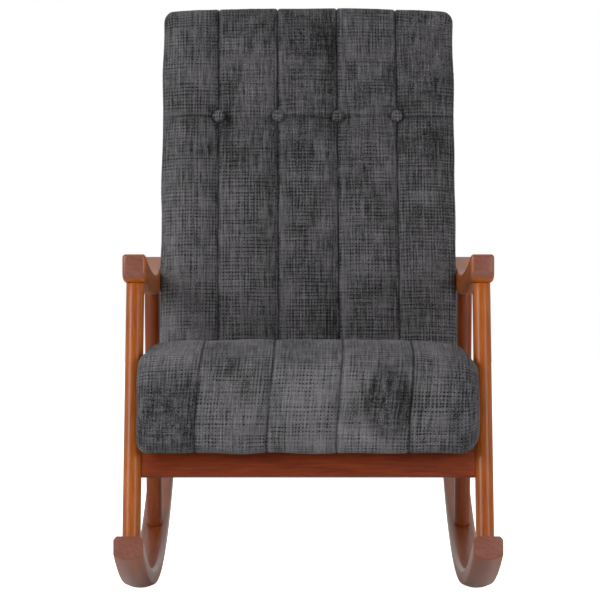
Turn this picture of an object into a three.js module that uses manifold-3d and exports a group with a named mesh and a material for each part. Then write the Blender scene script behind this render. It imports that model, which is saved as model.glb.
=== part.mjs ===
// Upholstered wooden rocking chair, in millimetres, +Z up.
// The sitter faces -Y, so the rocker tips are at the lowest Y and the sitter's left hand is at +X.
// Places along the chair are given as a depth behind the rocker tips; FRONT_Y turns a depth into Y.
// The origin is on the floor, in the middle of the chair's width and depth.

import * as THREE from "three";
import { mergeVertices } from "three/addons/utils/BufferGeometryUtils.js";
import Module from "manifold-3d";

const wasm = await Module();
wasm.setup();

// ---------------------------------------------------------------- driving dimensions

const GAP = 0.3; // between touching pieces
const degrees = (angle) => (angle * Math.PI) / 180;

// Rockers: bands bent to one arc, resting on the floor at CONTACT_DEPTH behind their tips.
const ROCKER_RADIUS = 800;
const ROCKER_THICKNESS = 33; // in the middle of its width
const ROCKER_WIDTH = 48;
const ROCKER_CROWN = 6.5; // how far its underside rises at its edges
const ROCKER_FLAT_WIDTH = 16; // the level strip along the middle of the underside
const ROCKER_TOP_CHAMFER = 5;
const CONTACT_DEPTH = 360;
const ROCKER_FACET = degrees(1.7);
const FACETS_AHEAD = 16.5; // a whole facet lies flat on the floor, half of it on each side of the contact
const FACETS_BEHIND = 23.5;

// Side frames: the legs, arm, rail and rocker of one side share a middle plane.
const SIDE_PLANE_X = 286;
const LEG_WIDTH = 29;
const LEG_DEPTH = 38;
const FRONT_LEG = { footDepth: 65, footZ: 90, lean: degrees(11.2) };
const REAR_LEG = { footDepth: 625, footZ: 82, lean: degrees(-7.6) };
const LEG_CORNER = 13;
const LEG_LENGTH = 520; // before its ends are cut to the rocker and the arm
const LEG_BELOW_FOOT = 40; // the part of that length below the foot

// Arms: a saddle-shaped bar, high at both ends.
const ARM_WIDTH = 39;
const ARM_FRONT_DEPTH = 119;
const ARM_REAR_DEPTH = 608;
const ARM_FRONT_TOP_Z = 573;
const ARM_REAR_TOP_Z = 576;
const ARM_DIP_DEPTH = 415;
const ARM_DIP_TOP_Z = 540;
const ARM_DIP_BOTTOM_Z = 505.5;
const ARM_FRONT_BOTTOM_Z = 540; // of the front end's face
const ARM_REAR_BOTTOM_Z = 537;
const ARM_EDGE = 5; // bevel

// Points and curve controls of the arm's underside and top, as [depth, height].
const ARM_FRONT_HEEL = [131, 526];
const ARM_FRONT_HOLLOW = [215, 522];
const ARM_HOLLOW_END = [270, 510];
const ARM_HOLLOW_TO_DIP = [330, ARM_DIP_BOTTOM_Z];
const ARM_DIP_TO_REAR = [500, ARM_DIP_BOTTOM_Z];
const ARM_REAR_SWELL = [555, 515];
const ARM_REAR_CREST = [545, 558];
const ARM_CREST_TO_DIP = [490, ARM_DIP_TOP_Z];
const ARM_DIP_TO_FRONT = [320, ARM_DIP_TOP_Z];
const ARM_FRONT_CREST = [200, 553];

// The heights at which the legs meet the arm's underside.
const FRONT_LEG_TOP_Z = 525;
const REAR_LEG_TOP_Z = 521;

// Seat: its bottom plane starts above the front rail and falls towards the back.
const SEAT_TILT = degrees(5);
const SEAT_FRONT_DEPTH = 93;
const SEAT_BOTTOM_Z = 252;
const SEAT_WIDTH = 535; // between the side frames
const SEAT_NOSE_WIDTH = 554; // in front of the legs
const SEAT_HEIGHT = 187;
const SEAT_LENGTH = 309; // along the bottom plane, behind the front rail
const SEAT_NOSE = 63; // overhang ahead of the front rail
const SEAT_REAR_SLOPE = 18; // how far the rear face leans back
const SEAT_REAR_ROUND = 22;
const SEAT_REAR_DROP = 4; // of the top at the rear, below its crest
const SEAT_CREST = [120, 200]; // the level part of the top
const SEAT_BEVEL = 8;
const SEAT_COVER_RIM = 24; // turned in under the frame
const FRAME_HEIGHT = 45;
const FRAME_BAR = 20;
const SEAT_FRAME_FROM = 3;
const SEAT_FRAME_TO = SEAT_LENGTH - 6;
const DUST_COVER_MARGIN = 12;
const DUST_COVER_THICKNESS = 1.2;
const SPRING_WIRE = 2; // radius
const SPRING_COUNT = 4;
const SPRING_PITCH = 116;
const SPRING_SWING = 20; // to each side of its middle
const SPRING_BENDS = 14;
const SPRING_INSET = 8; // of its ends from the frame's edges

// Back: a flat upholstered panel that leans between the side frames.
const BACK_LEAN = degrees(11.7);
const BACK_BOTTOM_DEPTH = 405.5;
const BACK_BOTTOM_Z = 225;
const BACK_WIDTH = 531;
const BACK_HEIGHT = 824;
const BACK_COVER_DEPTH = 79;
const BACK_FRAME_FRONT = 47;
const BACK_FRAME_DEPTH = 24;
const STILE_WIDTH = 26;
const BACK_RAIL_HEIGHT = 40;
const BACK_FRAME_MARGIN = 6; // from the cover's ends to the frame's
const BACK_CORNER = 15;
const BACK_BEVEL = 9;
const BACK_COVER_RIM = 30; // turned in behind the frame
const PANEL_MARGIN = 8; // of the rear panel, from the edge of the back
const PANEL_THICKNESS = 4;
const PANEL_CORNER = 12;
const BUTTON_HEIGHT = 619; // up the back from its lower edge
const BUTTON_COLUMNS = 4;
const CHANNELS = 5;
const BUTTON_RADIUS = 11;
const BUTTON_DOME = 7;
const BUTTON_SHANK_RADIUS = 2;
const BUTTON_SHANK_LENGTH = 24;
const WEBBING_COUNT = 4;
const WEBBING_WIDTH = 50;
const WEBBING_THICKNESS = 1.8;
const WEBBING_MARGIN = 4; // from the ends of a band to the frame's edges
const FIRST_WEBBING_HEIGHT = 130;

const SKIN = 2; // thickness of a cover
const ROUGH = 400; // more than any piece's half size, for cutters that reach right past it
const FRAME_HALF_WIDTH = 257; // of the seat frame and of the back frame

// Rails.
const SIDE_RAIL_WIDTH = 22;
const SIDE_RAIL_HEIGHT = 54;
const CROSS_RAIL_THICKNESS = 22;
const CROSS_RAIL_HEIGHT = 42;
const FRONT_RAIL_Z = 229;
const REAR_RAIL_Z = 199;
const CROSS_RAIL_SHIFT = 2; // of a cross rail's middle from its leg's middle, towards the seat
const TENON_THICKNESS = 8;
const SIDE_TENON = 12;
const SIDE_TENON_HEIGHT = 36;
const SIDE_RAIL_LIFT = 2; // of its middle above the seat's bottom plane
const CROSS_TENON = 10;
const CROSS_TENON_SHOULDER = 5; // above and below the tenon

// Fasteners and pegs.
const BOLT_RADIUS = 3;
const BOLT_HEAD_RADIUS = 6.5;
const BOLT_HEAD_HEIGHT = 4;
const HOLE_RADIUS = 3.4;
const COUNTERBORE_RADIUS = 7;
const HEAD_SINK = 1; // how deep a head lies below the wood
const SOCKET_SIZE = 2.5;
const RAIL_BOLT_LENGTH = 62;
const SEAT_BOLT_LENGTH = 45;
const LOWER_BACK_BOLT_LENGTH = 50;
const UPPER_BACK_BOLT_LENGTH = 58;
const BARREL_RADIUS = 5;
const BARREL_LENGTH = 15;
const DOWEL_RADIUS = 5;
const DOWEL_HALF = 18;
const ARM_TENON_RADIUS = 9;
const ARM_TENON = 20;
const ARM_TENON_ROOT = 30; // the part of the tenon inside the leg

// Where the bolts enter: along the seat's bottom plane, and up the back.
const SEAT_BOLT_HEIGHT = 14;
const SEAT_BOLT_PLACES = { front: 70, rear: 240 };
const BACK_BOLT_HEIGHTS = { lower: 20, upper: 318 };

const REAR_ANGLE = FACETS_BEHIND * ROCKER_FACET;
const OVERALL_DEPTH = CONTACT_DEPTH + ROCKER_RADIUS * Math.sin(REAR_ANGLE);
const FRONT_Y = -OVERALL_DEPTH / 2;

// ---------------------------------------------------------------- materials

function standard(color, roughness, metalness = 0) {
  return new THREE.MeshStandardMaterial({ color, roughness, metalness });
}

const lacqueredWood = standard(0x9a5228, 0.3);
const plainWood = standard(0xc9a675, 0.8);
const charcoalFabric = standard(0x4f4f52, 0.95);
const blackFabric = standard(0x1d1d1f, 0.95);
const foamBlock = standard(0xe6dcc0, 0.95);
const zincSteel = standard(0xb4b4b2, 0.35, 1);
const springSteel = standard(0x5a5a5c, 0.4, 1);
const webbingBand = standard(0x3a352f, 0.9);

// ---------------------------------------------------------------- geometry helpers

function solidFrom(geometry) {
  const bare = geometry.clone();
  for (const name of ["normal", "uv"]) bare.deleteAttribute(name);
  const merged = mergeVertices(bare, 1e-3);
  return new wasm.Manifold(
    new wasm.Mesh({
      numProp: 3,
      vertProperties: merged.attributes.position.array,
      triVerts: new Uint32Array(merged.index.array),
    }),
  );
}

function geometryFrom(solid) {
  const { vertProperties, triVerts } = solid.getMesh();
  const indexed = new THREE.BufferGeometry();
  indexed.setAttribute("position", new THREE.BufferAttribute(vertProperties, 3));
  indexed.setIndex(new THREE.BufferAttribute(triVerts, 1));
  const flat = indexed.toNonIndexed();
  flat.computeVertexNormals();
  return flat;
}

function cut(geometry, ...cutters) {
  return geometryFrom(
    cutters.reduce((solid, cutter) => solid.subtract(solidFrom(cutter)), solidFrom(geometry)),
  );
}

function join(geometry, ...others) {
  return geometryFrom(
    others.reduce((solid, other) => solid.add(solidFrom(other)), solidFrom(geometry)),
  );
}

// A box given by its lowest and highest corner.
function boxBetween(low, high) {
  const box = new THREE.BoxGeometry(high[0] - low[0], high[1] - low[1], high[2] - low[2]);
  return box.translate((low[0] + high[0]) / 2, (low[1] + high[1]) / 2, (low[2] + high[2]) / 2);
}

// A shape drawn as seen from the side (depth, height), made as thick as the width, about x = 0.
function extrudeSideways(shape, width, bevel = 0, curveSegments = 12) {
  const geometry = new THREE.ExtrudeGeometry(shape, {
    depth: width - 2 * bevel,
    curveSegments,
    bevelEnabled: bevel > 0,
    bevelThickness: bevel,
    bevelSize: bevel,
    bevelOffset: -bevel,
    bevelSegments: 2,
  });
  geometry.translate(0, 0, bevel - width / 2);
  const sideToX = new THREE.Matrix4().makeBasis(
    new THREE.Vector3(0, 1, 0),
    new THREE.Vector3(0, 0, 1),
    new THREE.Vector3(1, 0, 0),
  );
  return geometry.applyMatrix4(sideToX);
}

// A rectangle with rounded corners, about its middle.
function roundedRectangle(width, height, lowerRadius, upperRadius = lowerRadius) {
  const x = width / 2;
  const y = height / 2;
  const shape = new THREE.Shape();
  shape.moveTo(-x + lowerRadius, -y);
  shape.absarc(x - lowerRadius, -y + lowerRadius, lowerRadius, -Math.PI / 2, 0);
  shape.absarc(x - upperRadius, y - upperRadius, upperRadius, 0, Math.PI / 2);
  shape.absarc(-x + upperRadius, y - upperRadius, upperRadius, Math.PI / 2, Math.PI);
  shape.absarc(-x + lowerRadius, -y + lowerRadius, lowerRadius, Math.PI, 1.5 * Math.PI);
  return shape;
}

// A cylinder along X from one x to another, at a given depth and height.
function rodAcross(radius, fromX, toX, depth, z, sides = 16) {
  const length = Math.abs(toX - fromX);
  const rod = new THREE.CylinderGeometry(radius, radius, length, sides);
  return rod.rotateZ(Math.PI / 2).translate((fromX + toX) / 2, depth, z);
}

// A round peg along a leg's axis: from and to are heights up the leg from its foot.
function pegAlong(leg, radius, from, to, sides = 16) {
  const peg = new THREE.CylinderGeometry(radius, radius, to - from, sides);
  peg.rotateX(Math.PI / 2).translate(0, 0, (from + to) / 2);
  return standUp(peg, leg);
}

// Geometry made about a leg's foot, along +Z, leaned and moved to where the leg stands.
function standUp(geometry, leg) {
  return geometry.rotateX(-leg.lean).translate(0, leg.footDepth, leg.footZ);
}

// The depth and height of a point on a leg's axis, at a height above the floor.
function depthOnLeg(leg, z) {
  return leg.footDepth + (z - leg.footZ) * Math.tan(leg.lean);
}

// ---------------------------------------------------------------- groups

const chair = new THREE.Group();

function sideGroup(sign) {
  const group = new THREE.Group();
  group.position.set(sign * SIDE_PLANE_X, FRONT_Y, 0);
  group.scale.x = sign; // x counts outwards on both sides
  chair.add(group);
  return group;
}

const sides = { left: sideGroup(1), right: sideGroup(-1) };

const crossParts = new THREE.Group();
crossParts.position.y = FRONT_Y;
chair.add(crossParts);

const seatUnit = new THREE.Group();
seatUnit.position.set(0, FRONT_Y + SEAT_FRONT_DEPTH, SEAT_BOTTOM_Z);
seatUnit.rotation.x = -SEAT_TILT;
chair.add(seatUnit);

const backUnit = new THREE.Group();
backUnit.position.set(0, FRONT_Y + BACK_BOTTOM_DEPTH, BACK_BOTTOM_Z);
backUnit.rotation.x = -BACK_LEAN;
chair.add(backUnit);

chair.updateMatrixWorld(true);

function addPiece(group, name, geometry, material) {
  const mesh = new THREE.Mesh(geometry, material);
  mesh.name = name;
  group.add(mesh);
  return mesh;
}

function addToBothSides(name, geometry, material) {
  for (const [side, group] of Object.entries(sides)) {
    addPiece(group, `${name}_${side}`, geometry, material);
  }
}

// The depth and height in the chair of a point in a tilted unit.
function inChair(unit, y, z) {
  const point = unit.localToWorld(new THREE.Vector3(0, y, z));
  return { depth: point.y - FRONT_Y, z: point.z };
}

// ---------------------------------------------------------------- where the bolts go

const frontRailDepth = depthOnLeg(FRONT_LEG, FRONT_RAIL_Z) + CROSS_RAIL_SHIFT;
const rearRailDepth = depthOnLeg(REAR_LEG, REAR_RAIL_Z) - CROSS_RAIL_SHIFT;

const railBolts = {
  front: { depth: frontRailDepth, z: FRONT_RAIL_Z },
  rear: { depth: rearRailDepth, z: REAR_RAIL_Z },
};

const seatBolts = {
  front: inChair(seatUnit, SEAT_BOLT_PLACES.front, SEAT_BOLT_HEIGHT),
  rear: inChair(seatUnit, SEAT_BOLT_PLACES.rear, SEAT_BOLT_HEIGHT),
};

const stileMiddle = BACK_FRAME_FRONT + BACK_FRAME_DEPTH / 2;
const backBolts = {
  lower: inChair(backUnit, stileMiddle, BACK_BOLT_HEIGHTS.lower),
  upper: inChair(backUnit, stileMiddle, BACK_BOLT_HEIGHTS.upper),
};

// Hole and counterbore for a bolt that enters a side frame from outside, in that side's frame.
function boltEntry({ depth, z }, outerX) {
  return [
    rodAcross(HOLE_RADIUS, -ROUGH, ROUGH, depth, z, 12),
    rodAcross(COUNTERBORE_RADIUS, outerX - BOLT_HEAD_HEIGHT - HEAD_SINK, ROUGH, depth, z),
  ];
}

// ---------------------------------------------------------------- rockers

// The arc of the rocker's underside, with its lowest facet level with the floor.
class RockerArc extends THREE.Curve {
  getPoint(t, target = new THREE.Vector3()) {
    const angle = ROCKER_FACET * (t * (FACETS_AHEAD + FACETS_BEHIND) - FACETS_AHEAD);
    return target.set(
      0,
      CONTACT_DEPTH + ROCKER_RADIUS * Math.sin(angle),
      ROCKER_RADIUS * (Math.cos(ROCKER_FACET / 2) - Math.cos(angle)),
    );
  }
}

// A section drawn above the arc (x across, y towards the arc's centre), swept along the rocker.
function sweepRocker(section) {
  return new THREE.ExtrudeGeometry(section, {
    extrudePath: new RockerArc(),
    steps: FACETS_AHEAD + FACETS_BEHIND,
  });
}

// The rocker's plain band, a little larger all round, to cut the feet of the legs to.
function rockerClearance() {
  const section = new THREE.Shape();
  const x = ROCKER_WIDTH;
  const y = ROCKER_THICKNESS + GAP;
  section.moveTo(-x, -LEG_BELOW_FOOT).lineTo(x, -LEG_BELOW_FOOT).lineTo(x, y).lineTo(-x, y).closePath();
  return sweepRocker(section);
}

// The rocker's section: chamfered on top, and crowned underneath from a level strip in the middle.
function rockerSection() {
  const edge = ROCKER_WIDTH / 2;
  const flat = ROCKER_FLAT_WIDTH / 2;
  const halfRight = [
    [flat, 0],
    [(edge + flat) / 2, ROCKER_CROWN / 3],
    [edge, ROCKER_CROWN],
    [edge, ROCKER_THICKNESS - ROCKER_TOP_CHAMFER],
    [edge - ROCKER_TOP_CHAMFER, ROCKER_THICKNESS],
  ];
  const halfLeft = halfRight.map(([x, y]) => [-x, y]).reverse();
  return new THREE.Shape([...halfRight, ...halfLeft].map(([x, y]) => new THREE.Vector2(x, y)));
}

function rockerGeometry() {
  const aheadOfTip = boxBetween([-ROUGH, -ROUGH, -ROUGH], [ROUGH, 0, ROUGH]);
  const pegHoles = [FRONT_LEG, REAR_LEG].map((leg) =>
    pegAlong(leg, DOWEL_RADIUS + GAP, -DOWEL_HALF - GAP, DOWEL_HALF),
  );
  return cut(sweepRocker(rockerSection()), aheadOfTip, ...pegHoles);
}

// ---------------------------------------------------------------- arms

// The arm's outline from the side: the saddle on top, and the underside back to the front block.
function armOutline(drop = 0) {
  const lowered = ([depth, z]) => [depth, z - drop];
  const outline = new THREE.Shape();
  outline.moveTo(ARM_FRONT_DEPTH, ARM_FRONT_TOP_Z);
  outline.lineTo(ARM_FRONT_DEPTH, ARM_FRONT_BOTTOM_Z - drop);
  outline.lineTo(...lowered(ARM_FRONT_HEEL));
  outline.quadraticCurveTo(...lowered(ARM_FRONT_HOLLOW), ...lowered(ARM_HOLLOW_END));
  outline.quadraticCurveTo(
    ...lowered(ARM_HOLLOW_TO_DIP),
    ...lowered([ARM_DIP_DEPTH, ARM_DIP_BOTTOM_Z]),
  );
  outline.bezierCurveTo(
    ...lowered(ARM_DIP_TO_REAR),
    ...lowered(ARM_REAR_SWELL),
    ...lowered([ARM_REAR_DEPTH, ARM_REAR_BOTTOM_Z]),
  );
  outline.lineTo(ARM_REAR_DEPTH, ARM_REAR_TOP_Z);
  outline.bezierCurveTo(...ARM_REAR_CREST, ...ARM_CREST_TO_DIP, ARM_DIP_DEPTH, ARM_DIP_TOP_Z);
  outline.bezierCurveTo(...ARM_DIP_TO_FRONT, ...ARM_FRONT_CREST, ARM_FRONT_DEPTH, ARM_FRONT_TOP_Z);
  return outline;
}

// Everything from just below the arm's underside upwards, to cut the tops of the legs to.
function armClearance() {
  const above = boxBetween([-ROUGH, 0, ARM_DIP_TOP_Z + ARM_TENON], [ROUGH, 2 * ROUGH, 2 * ROUGH]);
  return join(extrudeSideways(armOutline(GAP), 2 * ARM_WIDTH), above);
}

// How far up its axis a leg meets the arm's underside.
function legTop(leg, undersideZ) {
  return (undersideZ - leg.footZ) / Math.cos(leg.lean);
}

const frontLegTop = legTop(FRONT_LEG, FRONT_LEG_TOP_Z);
const rearLegTop = legTop(REAR_LEG, REAR_LEG_TOP_Z);

function armTenon(leg, top, clearance) {
  const from = top - ARM_TENON_ROOT;
  return pegAlong(leg, ARM_TENON_RADIUS + clearance, from, top + ARM_TENON + clearance);
}

function armGeometry() {
  return cut(
    extrudeSideways(armOutline(), ARM_WIDTH, ARM_EDGE, 6),
    armTenon(FRONT_LEG, frontLegTop, GAP),
    armTenon(REAR_LEG, rearLegTop, GAP),
    ...boltEntry(backBolts.upper, ARM_WIDTH / 2),
  );
}

// ---------------------------------------------------------------- side rails

// A bar along the seat's bottom plane, in a side's frame.
function sideBar(width, height, fromDepth, toDepth) {
  const from = (fromDepth - SEAT_FRONT_DEPTH) / Math.cos(SEAT_TILT);
  const to = (toDepth - SEAT_FRONT_DEPTH) / Math.cos(SEAT_TILT);
  const low = SIDE_RAIL_LIFT - height / 2;
  const bar = boxBetween([-width / 2, from, low], [width / 2, to, low + height]);
  return bar.rotateX(-SEAT_TILT).translate(0, SEAT_FRONT_DEPTH, SEAT_BOTTOM_Z);
}

const tenonFrom = depthOnLeg(FRONT_LEG, SEAT_BOTTOM_Z) + LEG_DEPTH / 2 - SIDE_TENON;
const tenonTo = depthOnLeg(REAR_LEG, REAR_RAIL_Z) - LEG_DEPTH / 2 + SIDE_TENON;

function sideTenons(clearance) {
  return sideBar(
    TENON_THICKNESS + 2 * clearance,
    SIDE_TENON_HEIGHT + 2 * clearance,
    tenonFrom - clearance,
    tenonTo + clearance,
  );
}

function sideRailGeometry() {
  const length = sideBar(
    SIDE_RAIL_WIDTH,
    SIDE_RAIL_HEIGHT,
    depthOnLeg(FRONT_LEG, SEAT_BOTTOM_Z),
    depthOnLeg(REAR_LEG, REAR_RAIL_Z),
  );
  const shouldered = cut(length, legClearance(FRONT_LEG), legClearance(REAR_LEG));
  const entries = [seatBolts.front, seatBolts.rear, backBolts.lower].flatMap((bolt) =>
    boltEntry(bolt, SIDE_RAIL_WIDTH / 2),
  );
  return cut(join(shouldered, sideTenons(0)), ...entries);
}

// ---------------------------------------------------------------- legs

function legBar(leg, clearance = 0) {
  const section = roundedRectangle(LEG_WIDTH + 2 * clearance, LEG_DEPTH + 2 * clearance, LEG_CORNER);
  const bar = new THREE.ExtrudeGeometry(section, {
    depth: LEG_LENGTH,
    curveSegments: 2,
    bevelEnabled: false,
  });
  return standUp(bar.translate(0, 0, -LEG_BELOW_FOOT), leg);
}

function legClearance(leg) {
  return legBar(leg, GAP);
}

const crossTenonHalfHeight = CROSS_RAIL_HEIGHT / 2 - CROSS_TENON_SHOULDER;

// The mortise for a cross rail's tenon.
function crossMortise({ depth, z }, leg) {
  const y = TENON_THICKNESS / 2 + GAP;
  const height = crossTenonHalfHeight + GAP;
  const mortise = boxBetween(
    [-LEG_WIDTH, -y, -height],
    [-LEG_WIDTH / 2 + CROSS_TENON + GAP, y, height],
  );
  return mortise.rotateX(-leg.lean).translate(0, depth, z);
}

function legGeometry(leg, top, bolt) {
  const trimmed = cut(legBar(leg), rockerClearance(), armClearance());
  return cut(
    join(trimmed, armTenon(leg, top, 0)),
    pegAlong(leg, DOWEL_RADIUS + GAP, -DOWEL_HALF, DOWEL_HALF + GAP),
    sideTenons(GAP),
    crossMortise(bolt, leg),
    ...boltEntry(bolt, LEG_WIDTH / 2),
  );
}

// ---------------------------------------------------------------- cross rails

function crossRailGeometry(bolt, leg) {
  const boltHoleFrom = SIDE_PLANE_X - 1.5 * RAIL_BOLT_LENGTH;
  const half = CROSS_RAIL_THICKNESS / 2;
  const reach = SIDE_PLANE_X - LEG_WIDTH / 2 + CROSS_TENON;
  const shoulders = boxBetween(
    [-SIDE_PLANE_X, -half, -CROSS_RAIL_HEIGHT / 2],
    [SIDE_PLANE_X, half, CROSS_RAIL_HEIGHT / 2],
  );
  const tenons = boxBetween(
    [-reach, -TENON_THICKNESS / 2, -crossTenonHalfHeight],
    [reach, TENON_THICKNESS / 2, crossTenonHalfHeight],
  );
  for (const bar of [shoulders, tenons]) bar.rotateX(-leg.lean).translate(0, bolt.depth, bolt.z);
  const legs = [-1, 1].map((sign) => legClearance(leg).translate(sign * SIDE_PLANE_X, 0, 0));
  const holes = [-1, 1].flatMap((sign) => [
    rodAcross(HOLE_RADIUS, sign * boltHoleFrom, sign * ROUGH, bolt.depth, bolt.z, 12),
    barrelBore(bolt, leg, sign),
  ]);
  return cut(join(cut(shoulders, ...legs), tenons), ...holes);
}

const PAST_BARREL = 5; // how far a rail bolt's end passes its barrel nut
const barrelX = SIDE_PLANE_X + LEG_WIDTH / 2 - RAIL_BOLT_LENGTH + PAST_BARREL;

// The blind hole for a barrel nut, drilled from the rail's hidden face towards its outer face.
function barrelBore({ depth, z }, leg, sign) {
  const inward = leg === FRONT_LEG ? 1 : -1;
  const length = 2 * CROSS_RAIL_THICKNESS;
  const bore = new THREE.CylinderGeometry(BARREL_RADIUS + GAP, BARREL_RADIUS + GAP, length, 16);
  bore.translate(0, inward * ((length - BARREL_LENGTH) / 2 - GAP), 0);
  return bore.rotateX(-leg.lean).translate(sign * barrelX, depth, z);
}

function barrelNutGeometry() {
  const body = new THREE.CylinderGeometry(BARREL_RADIUS, BARREL_RADIUS, BARREL_LENGTH, 12);
  return cut(body, rodAcross(HOLE_RADIUS, -BARREL_LENGTH, BARREL_LENGTH, 0, 0, 12));
}

// ---------------------------------------------------------------- bolts and dowels

// A socket-head bolt along its own +X, its head's outer face at x = 0 and its shank towards -X.
function boltGeometry(length) {
  const profile = [
    [0, -SOCKET_SIZE],
    [SOCKET_SIZE, -SOCKET_SIZE],
    [SOCKET_SIZE, 0],
    [BOLT_HEAD_RADIUS, 0],
    [BOLT_HEAD_RADIUS, -BOLT_HEAD_HEIGHT],
    [BOLT_RADIUS, -BOLT_HEAD_HEIGHT],
    [BOLT_RADIUS, -length],
    [0, -length],
  ].map(([radius, along]) => new THREE.Vector2(radius, along));
  const turned = new THREE.LatheGeometry(profile.reverse(), 10);
  return turned.rotateZ(-Math.PI / 2);
}

function addBolts(name, places, length, outerX) {
  for (const [place, { depth, z }] of Object.entries(places)) {
    for (const [side, group] of Object.entries(sides)) {
      const bolt = addPiece(group, `${name}_${place}_${side}`, boltGeometry(length), zincSteel);
      bolt.position.set(outerX - HEAD_SINK, depth, z);
    }
  }
}

function addBarrelNuts() {
  const places = [
    ["front", railBolts.front, FRONT_LEG],
    ["rear", railBolts.rear, REAR_LEG],
  ];
  for (const [place, { depth, z }, leg] of places) {
    for (const [side, sign] of [["left", 1], ["right", -1]]) {
      const nut = addPiece(crossParts, `barrel_nut_${place}_${side}`, barrelNutGeometry(), zincSteel);
      nut.position.set(sign * barrelX, depth, z);
      nut.rotation.x = -leg.lean;
    }
  }
}

function addFootDowels() {
  for (const [place, leg] of [["front", FRONT_LEG], ["rear", REAR_LEG]]) {
    addToBothSides(
      `foot_dowel_${place}`,
      pegAlong(leg, DOWEL_RADIUS, -DOWEL_HALF, DOWEL_HALF, 12),
      plainWood,
    );
  }
}

// ---------------------------------------------------------------- seat unit

// The cushion from the side, in the seat unit: y along the bottom plane, z away from it.
function seatOutline(inset = 0) {
  const top = SEAT_HEIGHT - inset;
  const nose = -SEAT_NOSE + inset;
  const rearLow = SEAT_LENGTH - inset;
  const rearHigh = rearLow + SEAT_REAR_SLOPE;
  const rearTop = top - SEAT_REAR_DROP;
  const [crestFrom, crestTo] = SEAT_CREST;
  const shape = new THREE.Shape();
  shape.moveTo(rearLow, inset);
  shape.lineTo(rearHigh, top - SEAT_REAR_ROUND);
  shape.quadraticCurveTo(rearHigh, rearTop, rearHigh - SEAT_REAR_ROUND, rearTop);
  shape.quadraticCurveTo(crestTo, top, crestFrom, top);
  shape.bezierCurveTo(20, top, nose + 6, top - 28, nose + 2, top - 78);
  shape.bezierCurveTo(nose - 2, 78, nose - 1, inset, -18, inset);
  shape.closePath();
  return shape;
}

// The cushion's block: full width ahead of the legs, narrower between the side frames.
function seatBlock(inset, bevel) {
  const wide = extrudeSideways(seatOutline(inset), SEAT_NOSE_WIDTH - 2 * inset, bevel, 6);
  const clearOfLeg = 2;
  const legFront = depthOnLeg(FRONT_LEG, SEAT_BOTTOM_Z) - LEG_DEPTH / 2 / Math.cos(FRONT_LEG.lean);
  const recessFrom = legFront - clearOfLeg - inset - SEAT_FRONT_DEPTH;
  const recesses = [-1, 1].map((sign) => {
    const inner = SEAT_WIDTH / 2 - inset;
    const low = [sign > 0 ? inner : -ROUGH, 0, -ROUGH];
    const high = [sign > 0 ? ROUGH : -inner, 2 * ROUGH, ROUGH];
    return boxBetween(low, high)
      .rotateX(SEAT_TILT - FRONT_LEG.lean)
      .translate(0, recessFrom, 0);
  });
  return cut(wide, ...recesses);
}

const springZ = FRAME_HEIGHT + SPRING_WIRE + GAP;

function seatCoverGeometry() {
  const hollow = cut(seatBlock(0, SEAT_BEVEL), seatBlock(SKIN, SEAT_BEVEL));
  const x = FRAME_HALF_WIDTH - SEAT_COVER_RIM;
  const opening = boxBetween(
    [-x, SEAT_FRAME_FROM + SEAT_COVER_RIM, -FRAME_BAR],
    [x, SEAT_FRAME_TO - SEAT_COVER_RIM, FRAME_BAR],
  );
  return cut(hollow, opening, ...seatBoltHoles());
}

function seatBoltHoles() {
  return Object.values(seatBolts).map(({ depth, z }) => {
    const point = seatUnit.worldToLocal(new THREE.Vector3(0, FRONT_Y + depth, z));
    return rodAcross(HOLE_RADIUS, -ROUGH, ROUGH, point.y, point.z, 12);
  });
}

// The foam fills the cover above the springs and ahead of the frame.
function seatFoamGeometry() {
  const overSprings = springZ + SPRING_WIRE + GAP;
  const frameSpace = boxBetween([-ROUGH, SEAT_FRAME_FROM - GAP, -ROUGH], [ROUGH, ROUGH, overSprings]);
  return cut(seatBlock(SKIN + GAP, SEAT_BEVEL), frameSpace);
}

function addSeatFrame() {
  const low = SKIN + GAP;
  const high = FRAME_HEIGHT;
  const x = FRAME_HALF_WIDTH;
  const innerFrom = SEAT_FRAME_FROM + FRAME_BAR + GAP;
  const innerTo = SEAT_FRAME_TO - FRAME_BAR - GAP;
  const front = boxBetween([-x, SEAT_FRAME_FROM, low], [x, SEAT_FRAME_FROM + FRAME_BAR, high]);
  const rear = boxBetween([-x, SEAT_FRAME_TO - FRAME_BAR, low], [x, SEAT_FRAME_TO, high]);
  addPiece(seatUnit, "seat_frame_front", front, plainWood);
  addPiece(seatUnit, "seat_frame_rear", rear, plainWood);
  for (const [side, sign] of [["left", 1], ["right", -1]]) {
    const outer = sign * x;
    const inner = sign * (x - FRAME_BAR);
    const bar = boxBetween(
      [Math.min(outer, inner), innerFrom, low],
      [Math.max(outer, inner), innerTo, high],
    );
    addPiece(seatUnit, `seat_frame_${side}`, cut(bar, ...seatBoltHoles()), plainWood);
  }
}

// A sinuous spring: wire bent to and fro across its run from the front bar to the rear bar.
function addSeatSprings() {
  const from = SEAT_FRAME_FROM + SPRING_INSET;
  const pitch = (SEAT_FRAME_TO - SPRING_INSET - from) / SPRING_BENDS;
  const points = [];
  for (let bend = 0; bend <= SPRING_BENDS; bend += 1) {
    const side = bend % 2 ? SPRING_SWING : -SPRING_SWING;
    for (const step of [-0.22, 0.22]) {
      points.push(new THREE.Vector3(side, from + (bend + step) * pitch, 0));
    }
  }
  const wire = new THREE.Shape();
  wire.absarc(0, 0, SPRING_WIRE, 0, 2 * Math.PI);
  for (let index = 0; index < SPRING_COUNT; index += 1) {
    const geometry = new THREE.ExtrudeGeometry(wire, {
      extrudePath: new THREE.CatmullRomCurve3(points, false, "catmullrom", 0.5),
      steps: SPRING_BENDS * 4,
      curveSegments: 3,
    });
    const spring = addPiece(seatUnit, `seat_spring_${index + 1}`, geometry, springSteel);
    spring.position.set((index - (SPRING_COUNT - 1) / 2) * SPRING_PITCH, 0, springZ);
  }
}

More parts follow.
